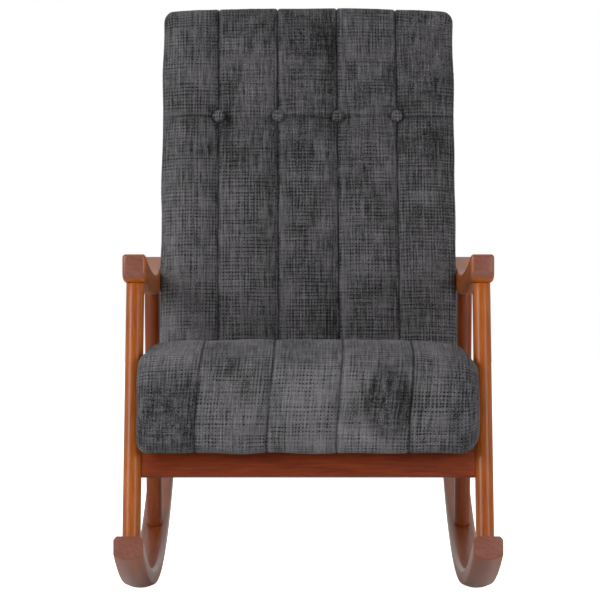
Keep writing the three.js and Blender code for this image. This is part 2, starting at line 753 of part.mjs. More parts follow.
function dustCoverGeometry() {
  const x = FRAME_HALF_WIDTH - DUST_COVER_MARGIN;
  return boxBetween(
    [-x, SEAT_FRAME_FROM + DUST_COVER_MARGIN, -DUST_COVER_THICKNESS - GAP],
    [x, SEAT_FRAME_TO - DUST_COVER_MARGIN, -GAP],
  );
}

// ---------------------------------------------------------------- back unit

// The back cushion's block: rounded at its corners seen from the front, softened at its edges.
function backBlock(inset, depth) {
  const corner = BACK_CORNER - inset;
  const outline = roundedRectangle(BACK_WIDTH - 2 * inset, BACK_HEIGHT - 2 * inset, corner);
  const block = new THREE.ExtrudeGeometry(outline, {
    depth: depth - 2 * inset - 2 * BACK_BEVEL,
    curveSegments: 2,
    bevelEnabled: true,
    bevelThickness: BACK_BEVEL,
    bevelSize: BACK_BEVEL,
    bevelOffset: -BACK_BEVEL,
    bevelSegments: 2,
  });
  block.rotateX(Math.PI / 2);
  return block.translate(0, depth - inset - BACK_BEVEL, BACK_HEIGHT / 2);
}

function backBoltHoles() {
  return Object.values(backBolts).map(({ depth, z }) => {
    const point = backUnit.worldToLocal(new THREE.Vector3(0, FRONT_Y + depth, z));
    return rodAcross(HOLE_RADIUS, -ROUGH, ROUGH, point.y, point.z, 12);
  });
}

function buttonX(index) {
  return (index - (BUTTON_COLUMNS - 1) / 2) * (BACK_WIDTH / CHANNELS);
}

// The holes that the buttons' shanks pass through.
function buttonHoles(radius, toY) {
  return Array.from({ length: BUTTON_COLUMNS }, (_, index) => {
    const hole = new THREE.CylinderGeometry(radius, radius, 2 * toY, 12);
    return hole.translate(buttonX(index), 0, BUTTON_HEIGHT);
  });
}

function backCoverGeometry() {
  const hollow = cut(backBlock(0, BACK_COVER_DEPTH), backBlock(SKIN, BACK_COVER_DEPTH));
  const rim = BACK_COVER_RIM;
  const opening = boxBetween(
    [-BACK_WIDTH / 2 + rim, BACK_COVER_DEPTH - rim, rim],
    [BACK_WIDTH / 2 - rim, BACK_COVER_DEPTH + rim, BACK_HEIGHT - rim],
  );
  const shankHoles = buttonHoles(BUTTON_SHANK_RADIUS + GAP, 2 * SKIN);
  return cut(hollow, opening, ...backBoltHoles(), ...shankHoles);
}

function backFoamGeometry() {
  const behind = BACK_FRAME_FRONT - WEBBING_THICKNESS - 3 * GAP;
  const frameSpace = boxBetween([-ROUGH, behind, -ROUGH], [ROUGH, ROUGH, 3 * ROUGH]);
  const shankHoles = buttonHoles(BUTTON_SHANK_RADIUS + GAP, BUTTON_SHANK_LENGTH + 6 * GAP);
  return cut(backBlock(SKIN + GAP, BACK_COVER_DEPTH), frameSpace, ...shankHoles);
}

function addBackFrame() {
  const x = FRAME_HALF_WIDTH;
  const y0 = BACK_FRAME_FRONT;
  const y1 = y0 + BACK_FRAME_DEPTH;
  const bottom = BACK_FRAME_MARGIN;
  const top = BACK_HEIGHT - BACK_FRAME_MARGIN;
  const innerX = x - STILE_WIDTH - GAP;
  for (const [side, sign] of [["left", 1], ["right", -1]]) {
    const outer = sign * x;
    const inner = sign * (x - STILE_WIDTH);
    const stile = boxBetween(
      [Math.min(outer, inner), y0, bottom],
      [Math.max(outer, inner), y1, top],
    );
    addPiece(backUnit, `back_stile_${side}`, cut(stile, ...backBoltHoles()), plainWood);
  }
  const lower = boxBetween([-innerX, y0, bottom], [innerX, y1, bottom + BACK_RAIL_HEIGHT]);
  const upper = boxBetween([-innerX, y0, top - BACK_RAIL_HEIGHT], [innerX, y1, top]);
  addPiece(backUnit, "back_frame_lower_rail", lower, plainWood);
  addPiece(backUnit, "back_frame_upper_rail", upper, plainWood);
}

// Elastic bands stretched across the front of the back frame; the top one holds the buttons.
function addBackWebbing() {
  const x = FRAME_HALF_WIDTH - WEBBING_MARGIN;
  for (let index = 0; index < WEBBING_COUNT; index += 1) {
    const step = (BUTTON_HEIGHT - FIRST_WEBBING_HEIGHT) / (WEBBING_COUNT - 1);
    const z = FIRST_WEBBING_HEIGHT + step * index;
    const band = boxBetween(
      [-x, 0, -WEBBING_WIDTH / 2],
      [x, WEBBING_THICKNESS, WEBBING_WIDTH / 2],
    );
    const strap = addPiece(backUnit, `back_webbing_${index + 1}`, band, webbingBand);
    strap.position.set(0, BACK_FRAME_FRONT - GAP - WEBBING_THICKNESS, z);
  }
}

function backPanelGeometry() {
  const outline = roundedRectangle(
    BACK_WIDTH - 2 * PANEL_MARGIN,
    BACK_HEIGHT - 2 * PANEL_MARGIN,
    PANEL_CORNER,
  );
  const panel = new THREE.ExtrudeGeometry(outline, {
    depth: PANEL_THICKNESS,
    curveSegments: 2,
    bevelEnabled: false,
  });
  panel.rotateX(Math.PI / 2);
  return panel.translate(0, BACK_COVER_DEPTH + GAP + PANEL_THICKNESS, BACK_HEIGHT / 2);
}

// A covered button: a domed head on the front of the cover, and a shank through it into the foam.
function addButtons() {
  const profile = [
    [0, BUTTON_SHANK_LENGTH],
    [BUTTON_SHANK_RADIUS, BUTTON_SHANK_LENGTH],
    [BUTTON_SHANK_RADIUS, -GAP],
    [0.92 * BUTTON_RADIUS, -GAP],
    [BUTTON_RADIUS, -0.3 * BUTTON_DOME],
    [0.86 * BUTTON_RADIUS, -0.7 * BUTTON_DOME],
    [0.45 * BUTTON_RADIUS, -0.94 * BUTTON_DOME],
    [0, -BUTTON_DOME],
  ].map(([radius, y]) => new THREE.Vector2(radius, y));
  for (let index = 0; index < BUTTON_COLUMNS; index += 1) {
    const geometry = new THREE.LatheGeometry(profile.slice().reverse(), 12);
    const button = addPiece(backUnit, `back_button_${index + 1}`, geometry, charcoalFabric);
    button.position.set(buttonX(index), 0, BUTTON_HEIGHT);
  }
}

// ---------------------------------------------------------------- assembly

addToBothSides("rocker", rockerGeometry(), lacqueredWood);
addToBothSides("front_leg", legGeometry(FRONT_LEG, frontLegTop, railBolts.front), lacqueredWood);
addToBothSides("rear_leg", legGeometry(REAR_LEG, rearLegTop, railBolts.rear), lacqueredWood);
addToBothSides("arm", armGeometry(), lacqueredWood);
addToBothSides("side_rail", sideRailGeometry(), lacqueredWood);
addPiece(crossParts, "front_rail", crossRailGeometry(railBolts.front, FRONT_LEG), lacqueredWood);
addPiece(crossParts, "rear_rail", crossRailGeometry(railBolts.rear, REAR_LEG), lacqueredWood);
addFootDowels();
addBarrelNuts();
addBolts("rail_bolt", railBolts, RAIL_BOLT_LENGTH, LEG_WIDTH / 2);
addBolts("seat_bolt", seatBolts, SEAT_BOLT_LENGTH, SIDE_RAIL_WIDTH / 2);
addBolts("back_bolt", { lower: backBolts.lower }, LOWER_BACK_BOLT_LENGTH, SIDE_RAIL_WIDTH / 2);
addBolts("back_bolt", { upper: backBolts.upper }, UPPER_BACK_BOLT_LENGTH, ARM_WIDTH / 2);

addSeatFrame();
addSeatSprings();
addPiece(seatUnit, "seat_foam", seatFoamGeometry(), foamBlock);
addPiece(seatUnit, "seat_cover", seatCoverGeometry(), charcoalFabric);
addPiece(seatUnit, "seat_dust_cover", dustCoverGeometry(), blackFabric);

addBackFrame();
addBackWebbing();
addPiece(backUnit, "back_foam", backFoamGeometry(), foamBlock);
addPiece(backUnit, "back_cover", backCoverGeometry(), charcoalFabric);
addPiece(backUnit, "back_rear_panel", backPanelGeometry(), charcoalFabric);
addButtons();

export default chair;
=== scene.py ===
"""The looks of an upholstered wooden rocking chair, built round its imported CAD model.

Lengths are metres. The sitter faces -Y and +Z is up. A "depth" is how far a point lies behind the
rocker tips, so it is a Y measured from FRONT_Y.
"""

import math

import bmesh
import bpy
import numpy as np
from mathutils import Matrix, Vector


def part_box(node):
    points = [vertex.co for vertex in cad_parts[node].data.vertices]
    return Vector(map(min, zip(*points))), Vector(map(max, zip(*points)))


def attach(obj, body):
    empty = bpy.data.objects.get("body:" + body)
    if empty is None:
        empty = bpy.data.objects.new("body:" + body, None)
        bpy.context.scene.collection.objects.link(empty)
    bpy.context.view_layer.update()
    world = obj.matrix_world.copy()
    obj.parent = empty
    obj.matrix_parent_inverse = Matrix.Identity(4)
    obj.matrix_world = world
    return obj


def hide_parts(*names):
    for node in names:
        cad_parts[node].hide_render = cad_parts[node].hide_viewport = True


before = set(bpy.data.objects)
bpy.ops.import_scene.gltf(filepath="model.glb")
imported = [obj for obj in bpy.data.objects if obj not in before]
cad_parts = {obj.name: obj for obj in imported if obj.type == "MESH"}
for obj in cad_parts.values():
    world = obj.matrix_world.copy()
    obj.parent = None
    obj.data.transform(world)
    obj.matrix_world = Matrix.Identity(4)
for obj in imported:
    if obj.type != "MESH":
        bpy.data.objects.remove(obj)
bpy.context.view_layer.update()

SIDES = {"left": 1, "right": -1}
GAP = 0.0003

# ---------------- measures of the frame

rocker_low, rocker_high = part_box("rocker_left")
FRONT_Y = rocker_low.y
SIDE_X = (rocker_low.x + rocker_high.x) / 2

ROCKER_WIDTH = rocker_high.x - rocker_low.x
ROCKER_RADIUS = 0.800
ROCKER_THICKNESS = 0.033
ROCKER_CROWN = 0.0065
ROCKER_CHAMFER = 0.005
CONTACT_DEPTH = 0.360
ROCKER_REAR_DEPTH = rocker_high.y - FRONT_Y

LEG_WIDTH = 0.029
LEG_DEPTH = 0.038
LEG_ROUND = 0.013
LEGS = {  # the depth and height of the middle of each foot, and how far the leg leans backwards
    "front": (0.065, 0.090, math.radians(11.2)),
    "rear": (0.625, 0.082, math.radians(-7.6)),
}

SEAT_TILT = math.radians(5)
SEAT_ORIGIN = (0.093, 0.252)
BACK_LEAN = math.radians(11.7)
BACK_ORIGIN = (0.4055, 0.225)
BACK_WIDTH = 0.531
BACK_HEIGHT = 0.824
BACK_DEPTH = 0.079
BUTTON_HEIGHT = 0.619


# ---------------- small helpers


def to_world(points):
    """Points as (x, depth, height) to the chair's own frame."""
    moved = np.array(points, float)
    moved[..., 1] += FRONT_Y
    return moved


def lean(points, origin, angle):
    """Points of a unit that leans backwards by angle, to (x, depth, height)."""
    points = np.asarray(points, float)
    c, s = math.cos(angle), math.sin(angle)
    out = points.copy()
    out[..., 1] = origin[0] + points[..., 1] * c + points[..., 2] * s
    out[..., 2] = origin[1] - points[..., 1] * s + points[..., 2] * c
    return out


def seat_to_chair(points):
    return to_world(lean(points, SEAT_ORIGIN, SEAT_TILT))


def back_to_chair(points):
    return to_world(lean(points, BACK_ORIGIN, BACK_LEAN))


def bezier(p0, p1, p2, p3, steps):
    """Points along a cubic curve, without its last one."""
    t = np.arange(steps)[:, None] / steps
    p0, p1, p2, p3 = (np.array(p, float) for p in (p0, p1, p2, p3))
    return (1 - t) ** 3 * p0 + 3 * (1 - t) ** 2 * t * p1 + 3 * (1 - t) * t**2 * p2 + t**3 * p3


def arc(centre, radii, start, end, steps):
    """Points along a part of an ellipse, angles in quarter turns."""
    a = np.linspace(start, end, steps + 1) * math.pi / 2
    return np.stack([centre[0] + radii[0] * np.cos(a), centre[1] + radii[1] * np.sin(a)], 1)


def rounded_ring(left, right, low, high, low_round, high_round, steps=6):
    """A rectangle with rounded corners as a ring of (x, y); a round is a radius or (across, up)."""
    lx, ly = np.broadcast_to(low_round, 2)
    hx, hy = np.broadcast_to(high_round, 2)
    return np.concatenate(
        [
            arc((right - lx, low + ly), (lx, ly), -1, 0, steps),
            arc((right - hx, high - hy), (hx, hy), 0, 1, steps),
            arc((left + hx, high - hy), (hx, hy), 1, 2, steps),
            arc((left + lx, low + ly), (lx, ly), 2, 3, steps),
        ]
    )


def rounded_rectangle(width, height, radius, steps=6):
    """A ring of (x, y) about its middle, with four equal rounds."""
    x, y = width / 2, height / 2
    return rounded_ring(-x, x, -y, y, radius, radius, steps)


def new_object(name, verts, faces, material=None):
    mesh = bpy.data.meshes.new(name)
    mesh.from_pydata([tuple(v) for v in verts], [], faces)
    mesh.validate()
    obj = bpy.data.objects.new(name, mesh)
    bpy.context.scene.collection.objects.link(obj)
    if material:
        mesh.materials.append(material)
    return obj


def ring_faces(rings, size):
    """Quads that join rings of points, each ring anticlockwise seen from the last, and two ends."""
    i, j = np.meshgrid(np.arange(rings - 1), np.arange(size), indexing="ij")
    k = (j + 1) % size
    quads = np.stack([i * size + j, i * size + k, (i + 1) * size + k, (i + 1) * size + j], -1)
    faces = quads.reshape(-1, 4).tolist()
    return faces + [list(range(size))[::-1], list(range((rings - 1) * size, rings * size))]


def loft(name, rings, material):
    """A closed tube through rings of equal point counts, with a flat face at each end."""
    rings = np.asarray(rings, float)
    obj = new_object(name, rings.reshape(-1, 3), ring_faces(*rings.shape[:2]), material)
    fix_normals(obj)
    return obj


def fix_normals(obj):
    mesh = bmesh.new()
    mesh.from_mesh(obj.data)
    bmesh.ops.remove_doubles(mesh, verts=mesh.verts, dist=1e-6)
    bmesh.ops.recalc_face_normals(mesh, faces=mesh.faces)
    mesh.to_mesh(obj.data)
    mesh.free()


def apply_modifiers(obj):
    bpy.context.view_layer.update()
    graph = bpy.context.evaluated_depsgraph_get()
    made = bpy.data.meshes.new_from_object(obj.evaluated_get(graph))
    obj.modifiers.clear()
    obj.data = made
    made.name = obj.name


def smooth(obj, sharp_above=40):
    """Smooth shading, with the edges above an angle in degrees kept sharp."""
    mesh = bmesh.new()
    mesh.from_mesh(obj.data)
    for face in mesh.faces:
        face.smooth = True
    limit = math.radians(sharp_above)
    for edge in mesh.edges:
        edge.smooth = len(edge.link_faces) == 2 and edge.calc_face_angle(0) < limit
    mesh.to_mesh(obj.data)
    mesh.free()
    return obj


def bevel(obj, width, segments=3, angle=50):
    modifier = obj.modifiers.new("edges", "BEVEL")
    modifier.width = width
    modifier.segments = segments
    modifier.limit_method = "ANGLE"
    modifier.angle_limit = math.radians(angle)
    apply_modifiers(obj)


def carve(obj, cutters):
    """Cuts each cutter's solid out of obj."""
    for cutter in cutters:
        modifier = obj.modifiers.new("cut", "BOOLEAN")
        modifier.operation = "DIFFERENCE"
        modifier.solver = "EXACT"
        modifier.object = cutter
        apply_modifiers(obj)
        bpy.data.objects.remove(cutter)


def coordinates(obj):
    flat = np.empty(len(obj.data.vertices) * 3)
    obj.data.vertices.foreach_get("co", flat)
    return flat.reshape(-1, 3)


def add_attribute(obj, name, values, domain="POINT"):
    """Stores one vector for each vertex or face corner, for the materials to read."""
    layer = obj.data.attributes.new(name, "FLOAT_VECTOR", domain)
    layer.data.foreach_set("vector", np.ascontiguousarray(values, float).ravel())


def place(obj, nodes, slot):
    """Makes obj stand for CAD nodes: hangs it on the root body and hides those nodes; slot is not
    used.
    """
    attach(obj, "root")
    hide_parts(*nodes)


# ---------------- node helpers


class Nodes:
    """Builds the node tree of a material or world, with short calls for the nodes it uses."""

    def __init__(self, name, world=False):
        self.owner = (bpy.data.worlds if world else bpy.data.materials).new(name)
        self.owner.use_nodes = True
        self.tree = self.owner.node_tree
        self.shader = self.tree.nodes["Background" if world else "Principled BSDF"]

    def node(self, kind, inputs=(), **settings):
        """A new node with these settings and inputs, the inputs by name or number."""
        node = self.tree.nodes.new("ShaderNode" + kind)
        for key, value in settings.items():
            setattr(node, key, value)
        for key, value in dict(inputs).items():
            self.put(node.inputs[key], value)
        return node

    def put(self, socket, value):
        if isinstance(value, bpy.types.NodeSocket):
            self.tree.links.new(value, socket)
        else:
            socket.default_value = value

    def math(self, operation, a, b=0.0):
        return self.node("Math", {0: a, 1: b}, operation=operation).outputs[0]

    def plus(self, a, b):
        return self.math("ADD", a, b)

    def times(self, a, b):
        return self.math("MULTIPLY", a, b)

    def total(self, *parts):
        """The sum of parts, each a (value, weight)."""
        total = 0.0
        for value, weight in parts:
            total = self.plus(total, self.times(value, weight))
        return total

    def wave(self, value, frequency):
        return self.math("SINE", self.times(value, frequency))

    def stretch(self, vector, *scale):
        inputs = {0: vector, 1: scale}
        return self.node("VectorMath", inputs, operation="MULTIPLY").outputs[0]

    def attribute(self, name):
        return self.node("Attribute", attribute_name=name).outputs["Vector"]

    def in_object(self):
        return self.node("TexCoord").outputs["Object"]

    def camera_ray(self):
        """1 where the camera itself looks, and 0 for light that falls on the chair."""
        return self.node("LightPath").outputs["Is Camera Ray"]

    def turned(self, axis):
        """Places in the object, turned so that axis 0, 1 or 2 comes last."""
        parts = self.split(self.in_object())
        return self.combine(*(parts[(axis + k) % 3] for k in (1, 2, 3)))

    def split(self, vector):
        return self.node("SeparateXYZ", {0: vector}).outputs

    def combine(self, *parts):
        return self.node("CombineXYZ", enumerate(parts)).outputs[0]

    def noise(self, vector, *numbers):
        """Noise of a scale, and if given a detail, roughness and distortion."""
        numbers = numbers + (2.0, 0.5, 0.0)[len(numbers) - 1 :]
        inputs = dict(zip(("Scale", "Detail", "Roughness", "Distortion"), numbers))
        return self.node("TexNoise", {"Vector": vector, **inputs}).outputs[0]

    def random(self, value):
        """A random number for each whole number of value."""
        inputs = {"W": self.math("FLOOR", value)}
        return self.node("TexWhiteNoise", inputs, noise_dimensions="1D").outputs["Value"]

    def remap(self, value, low, high, to_low=0.0, to_high=1.0, smoothly=False):
        kind = "SMOOTHSTEP" if smoothly else "LINEAR"
        names = ("Value", "From Min", "From Max", "To Min", "To Max")
        inputs = zip(names, (value, low, high, to_low, to_high))
        return self.node("MapRange", inputs, interpolation_type=kind).outputs[0]

    def ramp(self, value, *stops):
        node = self.node("ValToRGB", {0: value})
        elements = node.color_ramp.elements
        while len(elements) < len(stops):
            elements.new(1.0)
        for element, (position, colour) in zip(elements, stops):
            element.position = position
            element.color = (*colour, 1)
        return node.outputs[0]

    def mix(self, factor, a, b, blend="MIX"):
        inputs = {0: factor, 6: a, 7: (*b, 1)}
        return self.node("Mix", inputs, data_type="RGBA", blend_type=blend).outputs[2]

    def bump(self, height, distance, strength=1.0):
        inputs = {"Strength": strength, "Distance": distance, "Height": height}
        return self.node("Bump", inputs).outputs[0]

    def finish(self, **values):
        for key, value in values.items():
            self.put(self.shader.inputs[key.replace("_", " ")], value)
        return self.owner


# ---------------- materials


def wood_material(name, dark, middle, light, gloss=0.0, axis=None):
    """Straight-grained hardwood: growth bands, pores, slow colour changes along the grain, and a
    painted highlight on sharp edges.
    """
    n = Nodes(name)
    grain = n.attribute("grain") if axis is None else n.turned(axis)
    x, y, _ = n.split(grain)
    wander = n.noise(n.stretch(grain, 1.0, 1.0, 0.22), 16.0, 2.0)
    bands = n.math("SINE", n.total((x, 150.0), (y, 95.0), (wander, 26.0)))
    streaks = n.noise(n.stretch(grain, 1.0, 1.0, 0.055), 420.0, 4.0, 0.6)
    fine = n.noise(n.stretch(grain, 1.0, 1.0, 0.02), 1500.0, 3.0, 0.6)
    slow = n.noise(n.stretch(grain, 1.0, 1.0, 0.3), 9.0, 3.0)
    tone = n.total((bands, 0.035), (streaks, 0.50), (slow, 0.38), (fine, 0.20))
    colour = n.ramp(tone, (0.36, dark), (0.54, middle), (0.74, light))
    pores = n.remap(fine, 0.60, 0.72, smoothly=True)
    colour = n.mix(n.times(pores, 0.35), colour, [0.45 * c for c in dark])
    # painted highlight: lighter colour on sharp convex edges, where light catches them
    pointiness = n.node("NewGeometry").outputs["Pointiness"]
    edge = n.remap(pointiness, 0.505, 0.56, 0.0, 0.22, smoothly=True)
    colour = n.mix(edge, colour, [1.35 * c for c in light])
    rough = n.remap(streaks, 0.3, 0.7, 0.34, 0.46) if gloss else n.remap(fine, 0.3, 0.7, 0.6, 0.8)
    bump = n.bump(n.total((fine, 1.0), (streaks, 0.6)), 0.00012, 0.35)
    return n.finish(
        Base_Color=colour,
        Roughness=rough,
        Normal=bump,
        Coat_Weight=gloss,
        Coat_Roughness=0.30,
        Specular_IOR_Level=0.3,
    )


COLUMN_PITCH = 0.0055
ROW_PITCH = 0.0064


def yarn_gaps(n, coordinate, pitch, jitter, width):
    """Dark lines between yarns: (line, strength), irregular in their places and strengths."""
    scaled = n.times(coordinate, 1 / pitch)
    middle = n.plus(n.times(n.plus(n.random(scaled), -0.5), jitter), 0.5)
    away = n.math("ABSOLUTE", n.math("SUBTRACT", n.math("FRACT", scaled), middle))
    line = n.remap(away, width / pitch, 0.25 * width / pitch, 0.0, 1.0, smoothly=True)
    strength = n.remap(n.random(n.plus(scaled, 517.0)), 0.1, 0.6, 0.35, 1.0)
    return n.times(line, strength)


def fabric_material(name, dark, light, tint):
    """Chenille in an open weave: yarns both ways, dark pits where gaps cross, brushed pile; the
    weave attribute's tone adds the pile's own tone with painted shade and painted highlights.
    """
    n = Nodes(name)
    weave = n.attribute("weave")
    # tone: the pile's own tone by channel and patch, with painted shade and painted highlights
    # along seams, the button crease and the cushions' tops
    u, v, tone = n.split(weave)
    wobble = n.noise(weave, 30.0, 2.0)
    shift = n.times(n.plus(wobble, -0.5), 0.0025)
    u, v = n.plus(u, shift), n.plus(v, shift)
    flat = n.combine(u, v, 0.0)
    columns = yarn_gaps(n, u, COLUMN_PITCH, 0.20, 0.0019)
    rows = yarn_gaps(n, v, ROW_PITCH, 0.28, 0.0019)
    pits = n.times(columns, rows)
    brushed = n.noise(n.stretch(weave, 1.0, 0.7, 0.0), 11.0, 4.0, 0.6, 0.8)
    nap = n.remap(brushed, 0.36, 0.64, -0.5, 0.5)
    openness = n.remap(n.noise(flat, 21.0, 2.0), 0.38, 0.6, 0.35, 1.0)
    warp = n.noise(n.stretch(flat, 1.0, 0.06, 0.0), 380.0, 2.0, 0.6)
    weft = n.noise(n.stretch(flat, 0.06, 1.0, 0.0), 380.0, 2.0, 0.6)
    upright = n.noise(n.stretch(flat, 1.0, 0.12, 0.0), 95.0, 2.0, 0.6)
    level = n.noise(n.stretch(flat, 0.1, 1.0, 0.0), 95.0, 2.0, 0.6)
    fuzz = n.noise(weave, 480.0, 3.0, 0.7)
    # Dark tone, from brushed patches and painted shade alike, curls the pile and hides its pits.
    dark_tone = n.remap(tone, -0.22, -0.04, 1.0, 0.0, smoothly=True)
    curls = n.noise(flat, 330.0, 2.0, 0.5, 2.5)
    openness = n.times(openness, n.remap(dark_tone, 0.0, 1.0, 1.0, 0.35))
    parts = (
        (n.times(n.plus(curls, -0.5), dark_tone), 1.3, 0.0),
        (n.total((warp, 1.0), (weft, 0.55)), 1.15, 0.775),
        (n.total((upright, 1.0), (level, 0.4)), 0.32, 0.7),
        (fuzz, 1.50, 0.5),
        (n.times(pits, openness), -0.85, 0.0),
        (n.times(n.plus(columns, rows), openness), -0.07, 0.0),
        (nap, 0.20, 0.0),
        (tone, 1.0, 0.0),
    )
    value = 0.47
    for part, amount, middle in parts:
        value = n.plus(value, n.times(n.plus(part, -middle), amount))
    colour = n.ramp(value, (0.0, dark), (1.0, light))
    colour = n.mix(n.remap(nap, -0.5, 0.5, 0.0, 0.5), colour, tint, "SOFT_LIGHT")
    height = n.total((warp, 0.7), (weft, 0.7), (pits, -0.8), (fuzz, 0.5))
    return n.finish(
        Base_Color=colour,
        Roughness=n.remap(fuzz, 0.3, 0.7, 0.85, 1.0),
        Normal=n.bump(height, 0.0012, 0.8),
        Sheen_Weight=0.12,
        Sheen_Roughness=0.4,
        Sheen_Tint=(0.75, 0.74, 0.80, 1),
        Specular_IOR_Level=0.15,
    )


def end_grain_material(name, dark, light):
    """Wood sawn across the grain: growth rings seen end on, with open pores."""
    n = Nodes(name)
    grain = n.attribute("grain")
    flat = n.stretch(grain, 1.0, 1.0, 0.02)
    x, y, _ = n.split(flat)
    wander = n.noise(flat, 60.0, 3.0)
    rings = n.math("SINE", n.total((x, 260.0), (y, 700.0), (wander, 22.0)))
    pores = n.noise(flat, 2600.0, 2.0, 0.7)
    tone = n.total((rings, 0.035), (pores, 1.0))
    return n.finish(
        Base_Color=n.ramp(tone, (0.30, dark), (0.75, light)),
        Roughness=n.remap(pores, 0.3, 0.7, 0.38, 0.5),
        Normal=n.bump(tone, 0.00015, 0.3),
        Coat_Weight=0.25,
        Coat_Roughness=0.25,
    )


def steel_material(name, dark, light, streak):
    """Plated or tempered steel: fine turning marks, dull spots and a little tint."""
    n = Nodes(name)
    spot = n.in_object()
    marks = n.noise(n.stretch(spot, *streak), 900.0, 3.0, 0.6)
    spots = n.noise(spot, 240.0, 4.0, 0.6)
    return n.finish(
        Base_Color=n.ramp(spots, (0.35, dark), (0.65, light)),
        Metallic=1.0,
        Roughness=n.remap(n.plus(marks, spots), 0.7, 1.3, 0.24, 0.46),
        Normal=n.bump(marks, 0.00006, 0.4),
    )


def webbing_material(name):
    """Elastic webbing: ribs across its length, rubber threads along it."""
    n = Nodes(name)
    spot = n.in_object()
    x, _, z = n.split(spot)
    ribs = n.wave(x, 2400.0)
    threads = n.wave(z, 3600.0)
    fuzz = n.noise(spot, 1400.0, 3.0, 0.7)
    height = n.total((ribs, 0.3), (threads, 0.2), (fuzz, 1.0))
    return n.finish(
        Base_Color=n.ramp(height, (0.1, (0.018, 0.014, 0.011)), (1.0, (0.11, 0.088, 0.066))),
        Roughness=n.remap(fuzz, 0.3, 0.7, 0.8, 0.95),
        Normal=n.bump(height, 0.0004, 0.7),
    )


def lining_material(name):
    """Black non-woven lining: pressed fibres with a grid of small bonded dimples."""
    n = Nodes(name)
    spot = n.in_object()
    x, y, _ = n.split(spot)
    dimples = n.times(n.wave(x, 2500.0), n.wave(y, 2500.0))
    fibres = n.noise(n.stretch(spot, 1.0, 0.3, 1.0), 900.0, 4.0, 0.7)
    height = n.total((fibres, 1.0), (dimples, 0.25))
    return n.finish(
        Base_Color=n.ramp(height, (0.2, (0.008, 0.008, 0.009)), (0.9, (0.042, 0.042, 0.045))),
        Roughness=n.remap(fibres, 0.3, 0.7, 0.8, 0.95),
        Normal=n.bump(height, 0.0003, 0.6),
        Sheen_Weight=0.1,
    )


lacquered = wood_material(
    "lacquered_wood", (0.165, 0.032, 0.002), (0.325, 0.074, 0.003), (0.46, 0.130, 0.012), 0.2
)
# painted shade: a darker copy of the lacquered wood for the rear legs, which stand in the seat's
# shadow
painted_shade_wood = wood_material(
    "lacquered_wood_painted_shade", (0.085, 0.012, 0.001), (0.19, 0.032, 0.0025), (0.27, 0.060, 0.006), 0.1
)
# painted shade: a darker, redder copy of the lacquered wood for the rockers, standing in for the
# dark reflections on their tops
rocker_painted_shade_wood = wood_material(
    "lacquered_rocker_wood_painted_shade", (0.10, 0.018, 0.003), (0.22, 0.046, 0.007), (0.31, 0.082, 0.015), 0.35
)
# darker and redder than the legs: partly a darker stain, partly painted shade under the seat's
# overhang
rail_stain_and_shade_wood = wood_material(
    "lacquered_rail_wood",
    (0.075, 0.008, 0.0005),
    (0.148, 0.019, 0.0008),
    (0.21, 0.036, 0.002),
    0.02,
)
end_grain = end_grain_material("lacquered_end_grain", (0.09, 0.022, 0.012), (0.31, 0.092, 0.052))
PLAIN_TONES = ((0.30, 0.17, 0.075), (0.50, 0.32, 0.16), (0.62, 0.43, 0.24))
plain_wood = [
    wood_material(f"plain_wood_along_{letter}", *PLAIN_TONES, axis=axis)
    for axis, letter in enumerate("xyz")
]
zinc = steel_material("zinc_plated_steel", (0.40, 0.40, 0.39), (0.62, 0.62, 0.60), (0.1, 1.0, 1.0))
spring_steel = steel_material(
    "tempered_spring_steel", (0.06, 0.058, 0.060), (0.20, 0.19, 0.19), (1.0, 0.1, 1.0)
)
webbing = webbing_material("elastic_webbing")
lining = lining_material("black_lining")
charcoal = fabric_material(
    "charcoal_chenille", (0.006, 0.006, 0.0065), (0.190, 0.186, 0.192), (0.53, 0.50, 0.54)
)


# ---------------- wooden pieces


def add_grain(obj, origin, direction, side_x):
    """Grain runs along direction (depth, height) through origin, in the plane of that x."""
    points = coordinates(obj)
    d, z = points[:, 1] - FRONT_Y - origin[0], points[:, 2] - origin[1]
    c, s = direction
    seed = side_x * 3.1 + origin[0] * 7.7
    add_attribute(obj, "grain", np.stack([points[:, 0] + seed, z * c - d * s, d * c + z * s], 1))


BOLT_HEAD = (0.007, 0.005)  # the radius and depth of the room for a recessed head
BOLT_HOLE = (0.0034, 0.18)  # its radius, and the x where it ends
OUTSIDE = 0.4  # an x outside everything


def drill(nodes, outer):
    """Cylinders for the bolts that enter at x = outer, each with room for its recessed head."""
    cutters = []
    for node in nodes:
        low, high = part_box(node)
        centre = (low + high) / 2
        sign = 1 if centre.x > 0 else -1
        for radius, start in ((BOLT_HEAD[0], outer - BOLT_HEAD[1]), BOLT_HOLE):
            bpy.ops.mesh.primitive_cylinder_add(
                vertices=32,
                radius=radius,
                depth=OUTSIDE - start,
                location=(sign * (start + OUTSIDE) / 2, centre.y, centre.z),
                rotation=(0, math.pi / 2, 0),
            )
            cutters.append(bpy.context.object)
    return cutters


def rocker_section():
    """Crowned underneath and chamfered on top, as a ring of (across, height above the arc)."""
    edge, top = ROCKER_WIDTH / 2, ROCKER_THICKNESS
    across = np.linspace(-edge, edge, 19)
    crown = np.stack([across, ROCKER_CROWN * (across / edge) ** 2], 1)
    shoulder = top - ROCKER_CHAMFER
    corner = edge - ROCKER_CHAMFER
    upper = [(edge, shoulder), (corner, top), (0, top), (-corner, top), (-edge, shoulder)]
    return np.concatenate([crown, upper])


def show_end_grain(obj, before):
    """Gives the faces that look forwards, ahead of a depth, the look of sawn end grain."""
    obj.data.materials.append(end_grain)
    for face in obj.data.polygons:
        if face.normal.y < -0.8 and face.center.y - FRONT_Y < before:
            face.material_index = 1


